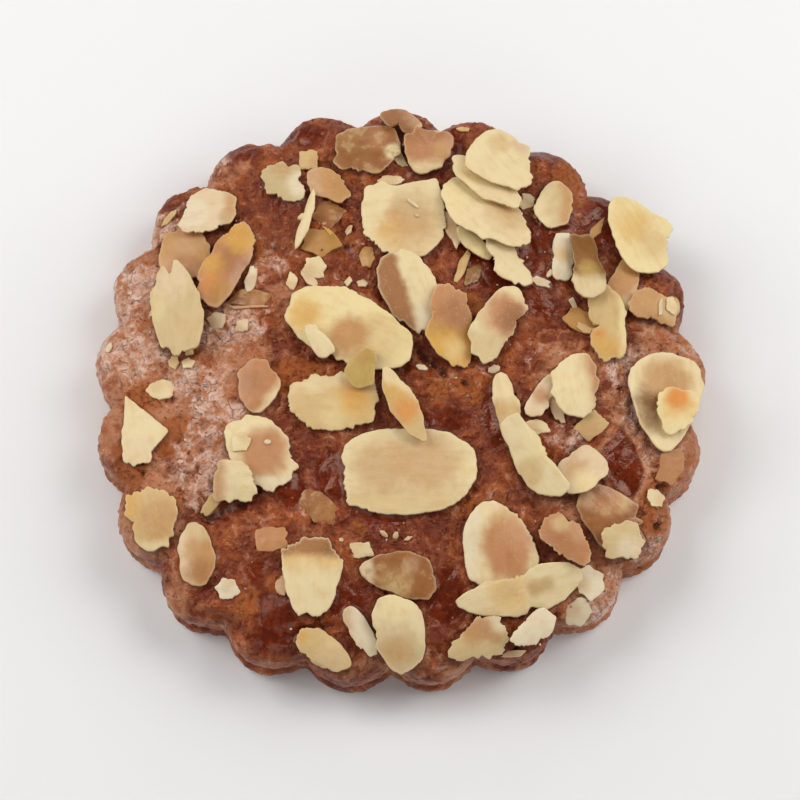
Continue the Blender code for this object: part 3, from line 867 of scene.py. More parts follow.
def bake_crust(settings, slices):
    """The dressed crust, which stands for the solid one."""
    profile = curve_through(PROFILE, 200)
    wall = curve_through(profile[profile[:, 0] < WALL_TOP[0]], WALL_SPACING)[::-1]
    crust = crust_sheet(settings.cells, len(wall) + len(SOLE_INSETS))
    mesh = crust.data
    points, top = crust_form(positions(mesh), profile, wall)
    points[:, :2] += RING_MIDDLE
    place_points(mesh, points)
    outward = normals(mesh)
    if np.mean(outward[top][:, 2]) < 0:
        outward = -outward
    masks = {
        "bloom": patched(points, SHEEN_BLOOM, 5.0),
        "flank": patched(points, FLANK, 11.0),
        "crumb": patched(points, CRUMB, 19.0),
        "glaze": patched(points, GLAZE, 27.0),
    }
    masks["bloom"] *= 0.3 + 0.7 * smoothstep(4.0, 12.0, points[:, 2])
    fine, swell = crust_relief(points, masks, settings)
    foot = smoothstep(0.0, 1.4, points[:, 2])
    relief = fine * np.where(top, 1.0, 0.55) + swell * np.where(top, 1.0, 0.4)
    points += outward * (relief * foot)[:, None]
    points[:, 2] = np.maximum(points[:, 2], 0.0)
    rise, near = raised_to_slices(points, top, settings.cells, slices, settings.lift / MM)
    points[:, 2] += rise
    place_points(mesh, points)
    # Painted shade in the crease over the lip, in the low parts of the fine relief and in the fissures
    crease = 0.45 * np.exp(-(((points[:, 2] - LIP_CREASE[0]) / LIP_CREASE[1]) ** 2)) * ~top
    fissures = crack_depth(points[:, 0] - RING_MIDDLE[0], points[:, 1] - RING_MIDDLE[1], 0.7) * top
    masks["crevice"] = np.clip(-fine / 0.85 + crease + 0.8 * fissures, 0, 1)
    # painted shadow round the slices
    masks["near"] = near
    # raised parts of the fine relief, painted lighter as a painted highlight
    masks["ridge"] = np.clip(fine / 0.5, 0, 1)
    # height of the lumps: their creases get pooled glaze and painted shade
    masks["swell"] = np.clip(0.5 + swell, 0, 1)
    for name, values in masks.items():
        paint(mesh, name, values)
    deselect_all()
    crust.select_set(True)
    bpy.context.view_layer.objects.active = crust
    bpy.ops.object.mode_set(mode="EDIT")
    bpy.ops.mesh.select_all(action="SELECT")
    bpy.ops.mesh.normals_make_consistent(inside=False)
    bpy.ops.object.mode_set(mode="OBJECT")
    return finished(crust, crust_material(settings), "crust", "cookie_crust")


# ---------------------------------------------------------------- almonds


class Stain(NamedTuple):
    """Another tone on a slice: the direction of its middle in degrees, and how far off that is in mm.

    With a size it is a round patch. Without one it covers all that lies beyond."""

    tone: str
    turn: float
    reach: float
    size: float = 0.0
    blur: float = 0.9
    strength: float = 0.8


class Look(NamedTuple):
    """Tone, stains and rim of one slice. A rough or notched part of the rim is given by its direction."""

    tone: str
    stains: tuple = ()
    rough: tuple = ()  # (direction, half width) in degrees
    notches: tuple = ()  # (direction, depth in mm, half width in degrees)
    glaze: float = 0.0


LOOKS = {
    1: Look("tan", (Stain("brown", -90, 2.6, 2.4, 1.2, 0.6), Stain("pink", 80, 1.4, 2.4, strength=0.4)),
        glaze=0.4),
    2: Look("pale", (Stain("tan", -5, 2.6, blur=0.9, strength=0.85), Stain("grey", -25, 3.0, 0.9),
        Stain("white", 190, 3.0, 3.0)), ((205, 60), (270, 50))),
    3: Look("rose", (Stain("brown", 0, 0.8, 2.8, 1.6, 0.55), Stain("golden", 62, 5.2, 3.0, 1.6, 0.8),
        Stain("golden", 195, 2.8, 2.2, 1.4, 0.7), Stain("orange", 235, 5.0, 2.0, 1.2, 0.5),
        Stain("toast", -95, 6.0, 2.2, 1.2, 0.8)), ((60, 50),), glaze=0.5),
    4: Look("straw", (Stain("pale", 100, 5.4, 3.4, 1.8), Stain("butter", 175, 3.4, 2.0, 1.8, 0.5),
        Stain("sand", -60, 4.0, 3.2, 1.6, 0.4)), ((-90, 20),), ((101, 3.4, 6.5),)),
    5: Look("grey", (Stain("white", -10, 3.4, 2.6, 1.4, 0.9), Stain("tan", 100, 2.4, 1.6, 1.0, 0.4)),
        ((0, 180),)),
    6: Look("tan", (Stain("pink", 190, 1.6, blur=0.8), Stain("toast", -30, 2.0, 1.8, strength=0.5))),
    7: Look("cream"),
    8: Look("brown", (Stain("toast", 150, 3.6, 2.2, strength=0.3),
        Stain("rose", 40, 2.5, 2.0, strength=0.4), Stain("umber", 180, 2.6, 2.6, 1.6, 0.4),
        Stain("cream", -8, 4.4, 1.5, 0.5, 0.95)), ((-90, 60),), glaze=0.9),
    9: Look("brown", (Stain("umber", 235, 1.8, 2.6, 1.4, 0.5),
        Stain("pink", 35, 1.4, blur=1.2, strength=0.75), Stain("cream", -25, 3.6, blur=0.7)), glaze=0.5),
    10: Look("rose", (Stain("brown", 95, 1.2, blur=1.4, strength=0.7),
        Stain("cream", -85, 2.0, blur=1.2, strength=0.9), Stain("tan", -10, 3.0, 2.0)), ((-60, 40),),
        glaze=0.4),
    11: Look("cream", (Stain("tan", -40, 1.4, 4.3, 2.2, 0.75), Stain("grey", 60, 3.0, 3.0, 1.5, 0.45),
        Stain("golden", 228, 3.4, 2.4, 1.6, 0.45), Stain("sand", -90, 4.4, blur=1.4, strength=0.4)),
        ((225, 50), (0, 20))),
    12: Look("cream", (Stain("white", -80, 4.2, blur=2.0),
        Stain("brown", 197, 0.7, blur=0.8, strength=0.95)), ((-80, 35),)),
    13: Look("butter"),
    14: Look("cream", (), ((-45, 40), (170, 40))),
    15: Look("cream", (Stain("butter", 120, 2.0, blur=3.0, strength=0.7),
        Stain("tan", -15, 3.6, 3.4, 2.0, 0.5)), ((-30, 30),)),
    16: Look("cream", (Stain("butter", 140, 3.5, 3.0),), ((-35, 25),)),
    17: Look("cream", (Stain("sand", 98, 3.1, 2.0, 0.7, 0.7), Stain("pink", 40, 4.3, 1.4, 1.0, 0.6)),
        ((-15, 45),)),
    18: Look("cream", (Stain("straw", 0, -1.4, blur=1.4), Stain("tan", 0, 0.8, blur=1.2, strength=0.9))),
    19: Look("white", (Stain("golden", 60, 0.4, 1.3, 0.9, 0.6),), ((180, 60), (0, 60))),
    20: Look("tan", (Stain("rose", 200, 0.6, 2.4, strength=0.4), Stain("cream", -45, 1.6, blur=0.7))),
    21: Look("sand", (Stain("golden", -105, 2.4, blur=1.8, strength=0.7), Stain("butter", 0, 1.9, blur=0.7),
        Stain("orange", 230, 2.2, 1.0, 0.9, 0.7)), ((185, 60), (-90, 25)), ((188, 2.6, 8),)),
    22: Look("umber", (Stain("brown", 180, 1.0, 1.8, 1.2, 0.5), Stain("olive", -100, 1.4, 1.7, 1.0, 0.75),
        Stain("cream", -90, 2.3, blur=1.0, strength=0.85)), ((180, 50),), glaze=0.5),
    23: Look("butter", (Stain("golden", 150, 2.0, 2.8, 2.2, 0.6), Stain("sand", -50, 2.2, 2.8, 1.8, 0.7)),
        ((5, 50),)),
    24: Look("tan", (Stain("straw", 5, 2.4, 2.0, 0.8), Stain("cream", 0, 3.4, 0.8, 0.5)), ((0, 180),)),
    25: Look("golden", (Stain("butter", -80, 4.6, 1.8, 1.2, 0.5), Stain("toast", 10, 1.4, 2.2, 1.6, 0.7),
        Stain("toast", 190, 2.4, 1.8, 1.4, 0.7), Stain("rose", 92, 0.2, blur=1.4, strength=0.95),
        Stain("brown", 50, 2.0, 2.6, 1.6, 0.75)), ((60, 40), (-70, 35))),
    26: Look("cream", (Stain("straw", -90, 1.0, blur=2.5), Stain("rose", 48, 1.6, 3.6, 1.6, 0.95),
        Stain("brown", 15, 2.4, 2.4, 1.4, 0.95)), ((-50, 50), (20, 25))),
    27: Look("butter", (Stain("golden", 164, 7.8, 2.8, 2.0, 0.8), Stain("sand", -20, 6.5, 4.0, 2.0, 0.5),
        Stain("tan", -88, 1.9, 3.3, 1.4, 1.0), Stain("tan", -20, 2.6, 2.0, 1.6, 0.4)), ((95, 20),)),
    28: Look("cream"),
    29: Look("sand", (Stain("cream", 90, 1.6, blur=1.6), Stain("butter", -75, 2.6, 2.6, 1.8, 0.6),
        Stain("golden", -5, 3.2, 2.8, 1.8, 0.7), Stain("orange", 20, 3.4, 1.6, 1.4, 0.4)), ((225, 45),
        (-25, 45), (95, 60))),
    30: Look("olive", (Stain("toast", 80, 1.8, 1.6, strength=0.5),)),
    31: Look("rose", (Stain("brown", 170, 1.6, 2.0, 1.2, 0.5),
        Stain("cream", -35, 2.2, blur=1.0, strength=0.9)), glaze=0.4),
    32: Look("cream", (Stain("tan", 170, 4.4, 4.6, 2.2, 0.6), Stain("tan", 20, 3.2, 5.0, 2.2, 0.6),
        Stain("sand", -90, 3.4, blur=1.6, strength=0.6), Stain("butter", 0, 9.0, blur=2.0, strength=0.6)),
        ((200, 35),)),
    33: Look("sand", (Stain("golden", 120, 0.6, blur=1.4, strength=0.6),
        Stain("orange", -80, 1.4, 2.0, 1.2, 0.75), Stain("cream", 60, 1.6, blur=0.8))),
    34: Look("cream", (Stain("rose", -10, 0.8, 4.0, 1.3, 0.95), Stain("white", -90, 4.2, blur=1.0)),
        ((-90, 60), (-20, 40)), glaze=0.3),
    35: Look("cream", (Stain("rose", 180, 2.0, blur=1.4, strength=0.85),), ((0, 60), (-60, 40))),
    36: Look("cream", (Stain("pale", -30, 1.5, 3.0, strength=0.5),), ((-50, 50),)),
    37: Look("sand", (Stain("golden", 175, 2.8, blur=1.4, strength=0.7),
        Stain("tan", 0, 1.2, 3.4, 1.6, 0.7), Stain("cream", -90, 3.8, blur=0.9)), ((90, 50), (170, 40))),
    38: Look("tan", (Stain("straw", 95, 2.2, blur=1.4), Stain("pale", 190, 1.4, blur=1.2, strength=0.7),
        Stain("brown", -80, 3.0, 2.2, 1.4, 0.6)), glaze=0.4),
    39: Look("cream", (Stain("golden", 90, 1.6, blur=2.0, strength=0.55),
        Stain("brown", 90, 3.5, blur=0.9, strength=0.9), Stain("umber", 60, 5.6, 1.6, 1.2, 0.5)), ((90, 60),
        (-90, 20))),
    40: Look("brown", (Stain("sand", -110, 1.9, 2.2, 1.4, 0.8), Stain("pink", 35, 2.6, 1.2, 1.0, 0.5),
        Stain("pale", 185, 4.2, blur=0.7, strength=0.9)), glaze=0.8),
    41: Look("white", (Stain("tan", 180, 1.0, blur=1.0, strength=0.5),), ((-60, 40),)),
    42: Look("cream", (Stain("butter", 95, 4.6, 2.6, 1.8, 0.6),
        Stain("grey", -95, 0.4, blur=2.6, strength=0.9), Stain("tan", -100, 3.2, 2.2, 1.6, 0.6))),
    43: Look("sand", (Stain("golden", 150, 4.2, 1.2), Stain("pale", -40, 2.0, 2.5, strength=0.4)),
        ((180, 50),)),
    44: Look("cream", (Stain("rose", -10, 1.3, 4.3, 1.4, 0.95), Stain("rose", -70, 3.6, 3.0, 1.4, 0.9),
        Stain("tan", 70, 4.0, 2.6, 1.6, 0.6), Stain("white", 180, 3.6, blur=1.0)), ((30, 50),), glaze=0.25),
    45: Look("cream", (Stain("golden", 200, 1.6, 2.8, 2.0, 0.6), Stain("toast", 2, 2.6, 1.2, 1.0, 0.7),
        Stain("toast", 9, 4.8, 1.1, 0.9, 0.6), Stain("straw", 178, 1.6, 1.4, 1.0, 0.6)), ((100, 40),)),
    46: Look("straw", (Stain("rose", 85, 1.2, 1.9, 0.8, 0.8), Stain("rose", -5, 2.4, 1.0, 0.5, 0.6),
        Stain("tan", 180, 1.2, 1.6), Stain("white", 35, 3.8, 1.2)), ((0, 180),)),
    47: Look("white", (), ((200, 60), (-90, 50))),
    48: Look("brown", (Stain("sand", 65, 3.2, 1.5, 0.8, 0.75), Stain("pink", 136, 4.4, 1.8, 0.8, 0.7),
        Stain("rose", 100, 2.8, 2.2)), glaze=0.8),
    49: Look("rose", (Stain("brown", 240, 1.4, 3.4, 1.8, 0.6), Stain("pink", 25, 2.4, 1.6, 1.2, 0.5),
        Stain("straw", 105, 2.6, 1.6, 0.8, 0.8)), ((0, 180),), glaze=0.3),
    50: Look("straw", (Stain("white", -60, 2.0, 2.4, strength=0.6),), ((0, 180),)),
    51: Look("cream", (Stain("sand", -90, -0.8, blur=1.6, strength=0.9),
        Stain("tan", 190, 1.4, 1.4, 1.0, 0.4))),
    52: Look("pale", (Stain("tan", 190, 1.2, 2.0, 1.2, 0.7), Stain("butter", -80, 2.4, 2.2, 1.2))),
    53: Look("cream", (Stain("butter", 60, 2.0, 3.0, 2.0, 0.6), Stain("sand", -120, 3.2, 2.4)), ((35, 40),)),
    54: Look("pale", (Stain("white", 150, 1.0, blur=1.0), Stain("cream", 0, 1.4, blur=0.8),
        Stain("rose", 0, 0.0, 1.4, 0.9, 0.8))),
    55: Look("cream", (Stain("butter", 200, 2.0, 3.0, 2.0, 0.5),
        Stain("tan", 12, 1.6, blur=1.2, strength=0.55), Stain("rose", 12, 2.7, blur=0.7, strength=0.9)),
        ((-50, 25),)),
    56: Look("cream", (Stain("tan", 80, 2.4, 4.3, 1.6, 0.9), Stain("umber", 200, 3.4, 2.0, 1.8, 1.0),
        Stain("umber", 232, 5.0, 1.8, 1.6, 0.8))),
    57: Look("butter", (Stain("golden", 180, 1.0, 2.0, 1.2, 0.5), Stain("orange", 90, 2.0, 2.0, 1.0, 1.0),
        Stain("golden", 0, 2.0, 1.6, 1.2, 0.4)), ((180, 50), (0, 50))),
}


# How far each slice's rim stands out from its solid's, in tenths of a millimetre, at even turns
# anticlockwise from +X
RIMS = {
    1: (-6, -4, -10, -6, -4, 1, 1, 4, -4, 4, 2, 0, 1, 4, 7, 6, 4, 4, 4, 4, 8, 6, 1, -4),
    2: (0, -2, 0, 8, 8, 9, 11, 9, 8, 8, 2, -2, -5, -4, 8, 4, -2, -3, -4, -1, 0, 2, 6, 3),
    3: (3, 3, 3, -2, 0, -4, -2, 0, 0, -4, 0, 2, 1, 0, -2, -2, 0, 2, 4, 4, 6, 7, -2, 3, 2, 8, 10, 8, 6, 2,
        0, 0, 0, 0, 0, 1),
    4: (-2, -3, -2, -4, -6, -8, -7, -4, -4, -5, 0, 5, 6, -4, -2, 2, 0, -1, -2, -1, -2, -2, -2, -2, -2, 4,
        -8, 0, -8, 2, 10, 6, 5, 4, 3, 1),
    5: (-6, -10, -6, -3, 0, 0, 6, 8, 2, 6, 6, 4, 0, -4, -6, -7, -10, -4, 0, 2, 2, 4, 2, 0),
    6: (-10, -4, -7, -1, -5, -5, -5, -7, -4, 2, 4, 2, 5, 6, 10, 4, 1, -4, -6, -6, -2, -4, 0, -10),
    7: (2, 2, 3, 6, 5, -1, -7, -8, -4, 0, 3, 2, 7, 2, -4, -6, 2, 8, 8, 8, 3, 3, 3, 2),
    8: (-1, 0, 1, 4, 9, 7, 5, 2, 0, 0, -2, -2, 0, 1, 2, 7, 6, 1, 0, -6, 7, 6, 10, 6, 2, 8, 6, 6, 8, 5, 0,
        -3, -6, -4, -8, -1),
    9: (0, 2, 3, 4, 6, 6, 5, 4, 1, -4, -6, -5, -5, 0, 2, 0, -11, -10, -5, 4, 4, 0, -6, 0),
    10: (-4, 2, 7, 7, -2, 2, 0, 0, 8, -1, 8, 4, 1, 1, 2, 6, 9, 8, 4, 1, -2, -5, -6, -4),
    11: (4, 2, 2, 1, 6, 15, 9, 7, 5, 3, 1, 4, 14, 6, 8, 2, 2, 2, 1, 1, 0, 3, 2, 6, 8, 5, 4, 5, 6, 8, 12,
        10, 9, 5, 2, 8),
    12: (6, 4, 5, 2, 1, -1, -4, -4, -6, -8, -7, -12, -5, -2, 2, 4, 4, 5, 6, 6, 5, 4, 2, 4, 6, 4, 0, 0, 6,
        2, 2, 2, 1, 2, 3, 4),
    13: (-2, -4, -2, -2, -1, 0, 0, 0, -2, -2, -7, -3, -1, -2, -1, -2, -3, -4, -5, -6, -6, -4, -3, -2),
    14: (-8, -14, -12, -9, -7, -4, 0, 0, 0, 0, 0, 0, 0, 2, 11, 11, 11, 8, 5, 5, 4, -2, -6, -16),
    15: (-6, -5, -4, -2, 0, 0, 0, 0, 0, 0, -2, -3, -3, -6, -4, -3, 0, 0, 2, 8, 11, 12, 10, 10, 6, 7, 12, 4,
        1, 4, 8, 2, 1, 1, -5, -10),
    16: (0, 0, 0, 0, 0, 0, 0, 0, 0, 0, 0, 4, 5, 7, 10, 6, 14, 14, 9, 7, 6, 7, 6, 8, 7, 8, 9, 6, 3, 2, 2, 5,
        -1, 2, 2, 3),
    17: (-4, -5, 4, -1, -3, -7, -3, -2, -2, -1, -2, -5, -6, -8, -8, -10, -8, -6, -2, 2, 6, 2, -2, -2, -4,
        -6, -6, -7, -7, 0, 0, 0, 0, -6, -7, -5),
    18: (-4, -2, -2, -3, -4, 2, 3, 1, -1, -3, -4, -4, -3, 0, 0, -4, -3, 4, 4, 4, 9, 3, 0, 1),
    19: (0, 0, 1, 2, 2, 2, 3, 2, 1, -1, -2, -4, -3, -2, -3, -2, -2, 0, -2, -1, 2, -2, -1, 0),
    20: (-4, -4, -5, -5, -2, 0, 2, -3, -4, -3, 0, 0, -1, -2, -1, 0, 1, 1, 2, 0, 0, 0, -2, -3),
    21: (-2, -2, 0, 4, 1, 3, 2, 2, 0, 10, 4, 2, 2, 2, -4, -3, -4, -7, -8, -6, -6, 0, 6, 8, 10, 10, 10, 2,
        1, 2, 2, 0, -2, -2, -2, -3),
    22: (-9, -10, -12, -14, -12, -5, 8, 4, 12, 2, -2, -2, -2, 5, 5, 14, 15, 14, 10, 3, -1, -6, -6, -9),
    23: (-4, -2, 4, 2, -2, -8, -5, -5, -2, 0, 3, 1, 0, 5, 2, 0, 0, 0, 0, 1, 2, 5, 5, 8, 10, 10, 8, 2, -1,
        -6, -9, -5, -7, -8, -8, -8),
    24: (4, 8, 12, -1, 2, 2, -1, 4, 1, -5, -1, -2, 4, 8, 8, 2, 0, -2, -4, -4, -5, 2, -4, -4),
    25: (0, 4, 8, 8, 9, 5, 12, 10, 0, 0, -3, 0, -2, -4, -6, -10, -7, -5, 1, 4, 10, 10, 8, 6, 4, 4, 4, 5, 2,
        10, 4, 4, 2, 0, -1, -4),
    26: (-4, -8, -5, 2, -7, -6, 0, -1, 0, 0, -4, -4, -4, -5, -4, -2, -1, -2, -2, 3, 3, 3, -5, 5, -2, 8, 2,
        -4, -6, -4, -5, -3, 0, 0, -6, -3),
    27: (-9, -8, -6, -6, -4, -2, -2, -2, 0, 3, 6, 0, -4, -2, -2, -2, -6, 4, 1, 4, 4, 5, 4, 2, -3, 5, 0, 4,
        2, 2, 3, 3, 6, 4, -1, 1),
    28: (-7, -7, -7, -6, -8, -10, -12, -9, -14, -7, -2, 2, 3, 4, 5, 5, 8, 10, 15, 12, 4, 5, -4, -7),
    29: (0, -5, -4, 4, 0, 0, -1, -2, 0, -6, -4, -4, -2, 6, -2, 0, 10, 4, 4, 4, 0, 4, 5, 5, 4, 4, 6, 6, 6,
        4, 4, 4, 7, 10, 0, -2),
    30: (-1, 0, 0, -2, -6, -8, -10, -7, -5, -2, 3, 6, 6, 8, 5, 3, 1, 2, 4, 7, 15, 6, 4, 1),
    31: (-2, -4, -8, -11, -12, 0, 1, 6, 6, 6, 10, -1, -1, -4, -4, -6, -3, 1, 2, -2, -3, -2, -2, -2),
    32: (-2, -2, 0, -6, -4, -3, -2, -2, -1, 0, 0, 1, 2, 4, 4, 7, 5, 3, 1, 6, 4, 9, 2, 1, 2, 0, 2, 2, 2, -1,
        0, 0, -4, -5, -8, -6),
    33: (-2, -1, -2, -2, -2, -4, -2, -2, -4, -6, -10, -4, -4, -4, 2, 3, 1, 1, 2, 2, 4, 3, 3, 2, 2, 2, 2, 3,
        7, 1, 0, -10, -4, -4, -4, -3),
    34: (-6, -2, 0, 3, 2, 5, 1, 4, 1, 1, 2, 6, 0, 5, 8, 6, -2, -2, -5, -1, -2, -2, 0, 0, -1, 0, 0, -4, 4,
        6, 0, 8, 8, 6, 7, -4),
    35: (-8, -8, -10, -9, -8, -4, -4, -2, 2, 5, -3, 0, 2, 3, 5, 10, 0, 6, 1, 2, 8, 4, 2, -4),
    36: (-10, -8, -4, 0, 0, 0, 1, 2, 2, 3, 4, 4, 10, 5, 5, 5, 3, 2, 2, 0, 1, 2, 2, 0, 2, 5, 5, 7, 10, 7, 4,
        4, 4, -4, -6, -10),
    37: (0, 3, 4, 2, 4, 3, -4, -6, -5, -3, 2, 0, 0, 0, 6, 0, 0, 4, -2, -2, 0, -2, 0, 4, 3, 2, 2, 1, -3, -4,
        3, -11, -2, -8, -4, -3),
    38: (-2, -4, -6, -4, -4, -2, -2, 1, -4, 0, 0, 2, 0, -1, 1, 6, 8, 4, 0, -2, -6, -4, -2, -2),
    39: (-2, -2, -2, 0, -8, -7, -10, 4, -1, -2, 1, -2, -2, 0, 6, 2, 0, 2, 2, 1, 2, 4, 3, 4, 6, 5, 0, 4, 4,
        -2, -1, -3, -2, -4, -5, -3),
    40: (-6, -2, 4, 8, 7, 6, 8, 7, 6, 6, 4, 1, 0, 0, -2, -7, -4, 1, 2, 2, 0, 2, 0, -2, -2, -4, -2, -2, -1,
        0, 0, -2, 4, 0, 0, -3),
    41: (4, 3, 3, 4, 4, 5, 6, 4, -2, -2, 2, -2, 1, 2, 2, 2, 1, 4, 4, 0, 0, 1, 4, 4),
    42: (0, 0, 0, 0, 0, -2, -5, -7, -10, -11, -6, -5, -2, -2, -2, 0, -1, -2, -6, -2, -4, 3, 2, 0, -2, 0, 1,
        2, -1, -3, -3, 2, 1, 2, 0, -1),
    43: (-8, -6, -6, -5, -4, -5, -2, 0, -4, 0, -2, 2, 4, -2, -2, -2, -3, -4, -4, -2, 2, -2, 3, -3),
    44: (-4, -4, -4, -5, -3, -4, -4, -10, -6, -4, 0, 1, 3, 2, 5, 4, 6, 6, 5, 5, 5, 6, 9, 12, 8, 7, 5, 3, 0,
        0, 1, 2, 2, 4, 2, 0),
    45: (4, 5, 6, 6, 0, 0, -6, -16, -14, -14, -11, -12, -12, -12, -12, -12, -12, -4, -7, 3, -1, 6, 8, 8, 9,
        8, 10, 12, 10, 10, 1, -1, 4, 14, 12, 11),
    46: (-4, -6, -11, -3, -8, -3, 0, 2, 0, -1, -2, -2, -5, -8, 6, 6, -2, -4, -2, 2, 6, 7, 7, -4),
    47: (-3, -4, -2, -7, -1, 0, -2, -4, -5, -6, -8, -8, -8, -4, 4, 4, -6, -2, -1, -2, -1, 0, -1, -1),
    48: (1, -10, -2, 9, 6, 4, 2, 2, 0, 0, 0, 0, -1, -1, -2, -2, -2, -6, -5, -5, -6, -6, -4, -2, -1, -1, -1,
        0, 0, 0, -1, -4, -6, -2, -12, -14),
    49: (-8, -6, -2, 0, -4, -5, -8, 1, 1, 2, 0, 6, 8, 0, -4, -3, -4, -5, -6, -2, 8, 6, -4, -8),
    50: (-2, -7, -8, -6, 1, 1, 0, -4, -5, -5, 2, 3, 3, 3, 3, 2, -2, -2, -2, 0, 2, -2, -7, -4),
    51: (2, 2, 2, -1, -5, -1, 2, 0, -4, -2, 1, 0, 0, 0, 1, 0, -1, 4, 3, -1, -5, -6, -2, 0),
    52: (2, -1, -5, -6, -4, 0, 1, -5, -6, -10, -6, -3, -3, -2, 1, 3, 6, 2, 0, -2, -4, -8, -9, 0),
    53: (-1, -1, 1, 2, 3, 6, -1, -2, 8, 8, 9, 2, 4, 5, 11, 6, -3, -1, 0, 1, 3, 4, 5, 4, 4, 8, 8, 7, 4, 0,
        0, 0, 0, 0, -4, -3),
    54: (-1, -2, 0, 1, 1, 1, -3, -2, -3, -3, -3, -4, -4, -4, -2, -1, -2, 0, 6, 1, 5, -1, -4, -4),
    55: (0, 2, 3, -4, -4, 0, -2, 4, 0, -2, -5, -6, -6, -4, -2, 2, 7, 3, 2, 2, 7, 1, 0, 0, -2, -1, -4, -2,
        -2, -4, -5, -4, -6, -5, -6, -2),
    56: (3, 3, 6, 1, 2, 2, -5, -8, -9, -8, -9, -8, -8, -4, -2, 2, 2, 1, 2, 2, 2, 5, 6, 8, 7, 8, 10, 8, 4,
        4, 3, 1, 0, 0, 1, 2),
    57: (-2, -1, 0, -2, 2, 2, 7, 10, 9, 3, 0, 1, 2, 2, -1, 2, 6, 5, -6, -6, -9, -2, -8, -2),
}


class Chip(NamedTuple):
    """A small broken bit, measured from the middle of the ring of flutes: sizes in mm, turn in degrees."""

    x: float
    y: float
    length: float
    width: float
    turn: float
    tone: str = "cream"
    glaze: float = 0.0
    high: bool = False  # lies on the slices


CHIPS = (
    Chip(-15.0, 39.6, 4.0, 3.8, 45, "sand"),
    Chip(0.1, 40.0, 4.9, 1.8, -44),
    Chip(-0.8, 35.4, 4.1, 1.8, 0, "pale"),
    Chip(-11.5, 29.5, 5.4, 5.0, 0, "brown", 0.9),
    Chip(-12.8, 24.3, 6.1, 5.0, 0, "toast", 0.6),
    Chip(-13.6, 19.5, 3.7, 3.7, 0),
    Chip(-17.5, 17.0, 3.2, 2.0, 90),
    Chip(-24.4, 17.5, 4.4, 1.9, 77, "white"),
    Chip(-4.9, 21.6, 3.6, 2.4, 90, "toast", 0.7),
    Chip(-24.5, 14.2, 7.6, 3.5, 0, "brown", 0.9),
    Chip(-34.8, 3.0, 2.2, 1.9, 10),
    Chip(-37.2, 3.3, 2.2, 1.6, 80, "straw"),
    Chip(-34.6, 5.0, 1.6, 1.0, 20, "straw"),
    Chip(-39.2, -1.2, 4.5, 3.5, 0),
    Chip(-30.0, 10.3, 3.2, 2.6, 0, "pale"),
    Chip(-25.8, 9.4, 2.7, 2.5, 0, "pale"),
    Chip(-30.0, -20.6, 5.3, 2.0, 46, "sand"),
    Chip(-12.7, -21.6, 7.0, 4.0, -40, "brown", 0.9),
    Chip(-20.4, -26.9, 6.2, 4.7, 0, "rose", 0.5),
    Chip(-18.6, -34.7, 3.1, 2.1, 90, "pink"),
    Chip(-27.4, -35.0, 3.6, 3.3, 0, "white"),
    Chip(-5.5, -28.7, 4.2, 3.0, 0),
    Chip(29.8, -38.6, 4.6, 3.8, 40, "white"),
    Chip(31.7, -34.0, 4.9, 4.4, 90, "white"),
    Chip(32.5, -7.7, 6.0, 4.0, 25, "sand"),
    Chip(45.6, -14.3, 6.2, 4.3, 59, "rose", 0.3),
    Chip(43.0, -19.5, 3.0, 2.9, 0),
    Chip(22.1, 31.5, 3.4, 2.2, 0),
    Chip(9.5, 26.3, 6.4, 2.1, -71, "pale"),
    Chip(11.2, 19.8, 6.4, 1.4, 69, "sand"),
    Chip(13.0, 18.2, 4.9, 2.6, 56, "umber", 0.9),
    Chip(26.6, -4.4, 5.8, 2.3, -72, "pale"),
    Chip(23.2, -8.2, 4.3, 2.4, 0),
    Chip(34.1, 26.9, 5.0, 1.6, 58, "toast"),
    Chip(24.5, 29.3, 1.2, 2.6, -67, "toast", 0.6),
    Chip(16.4, 1.6, 1.9, 1.2, 0, "white"),
    # slivers too small for the solid
    Chip(-11.0, 25.8, 3.9, 0.8, -42, "golden"),
    Chip(-8.0, 26.6, 1.9, 1.0, 70, "pale"),
    Chip(-14.6, 17.6, 4.0, 1.6, -50, "pale"),
    Chip(-8.0, 17.0, 2.0, 1.1, 70, "cream"),
    Chip(-5.6, 16.6, 1.8, 1.4, 0, "pale"),
    Chip(-12.0, -46.6, 3.8, 1.6, -20, "cream"),
    Chip(19.2, -45.2, 4.0, 1.1, 8, "pale"),
    Chip(-48.4, 6.6, 2.0, 0.9, 80, "white"),
    Chip(-38.8, 29.4, 3.4, 1.2, 48, "sand"),
    Chip(7.4, 45.2, 3.0, 0.9, -5, "cream"),
    Chip(11.6, 45.6, 2.0, 1.0, 0, "sand"),
    Chip(4.3, 1.8, 1.9, 0.9, -10, "white"),
    Chip(-41.0, 12.0, 1.5, 1.2, 0, "pale"),
    Chip(31.0, 10.6, 5.7, 3.9, -26, "toast", 0.4),
    Chip(32.2, 9.0, 3.6, 1.8, -20, "sand"),
    Chip(29.9, 13.4, 2.4, 1.0, -62, "white"),
    Chip(24.4, 17.1, 3.4, 1.6, -19, "white"),
    Chip(25.9, 18.6, 1.4, 0.8, 60, "white"),
    Chip(-24.6, 12.6, 7.2, 0.5, 1, "pink"),
    Chip(-25.5, -11.0, 3.2, 3.4, 0, "cream", 0.0, True),
    Chip(-21.1, -11.1, 1.1, 0.8, 0, "white", 0.0, True),
    Chip(44.5, 12.7, 3.1, 0.8, 86, "white", 0.0, True),
    Chip(46.4, 13.2, 1.9, 3.2, 10, "cream", 0.0, True),
    Chip(2.9, 30.7, 2.3, 0.6, -40, "white", 0.0, True),
    Chip(3.6, 28.4, 0.9, 0.4, -31, "white", 0.0, True),
    Chip(-1.9, -26.1, 1.6, 0.7, -35, "pale"),
    Chip(0.0, -26.4, 1.1, 0.8, 60, "pale"),
    Chip(2.0, -26.9, 1.4, 0.7, 25, "pale"),
    Chip(-8.9, -27.1, 0.7, 0.7, 0, "pale"),
    Chip(22.6, 32.4, 2.4, 1.6, -42, "white"),
)


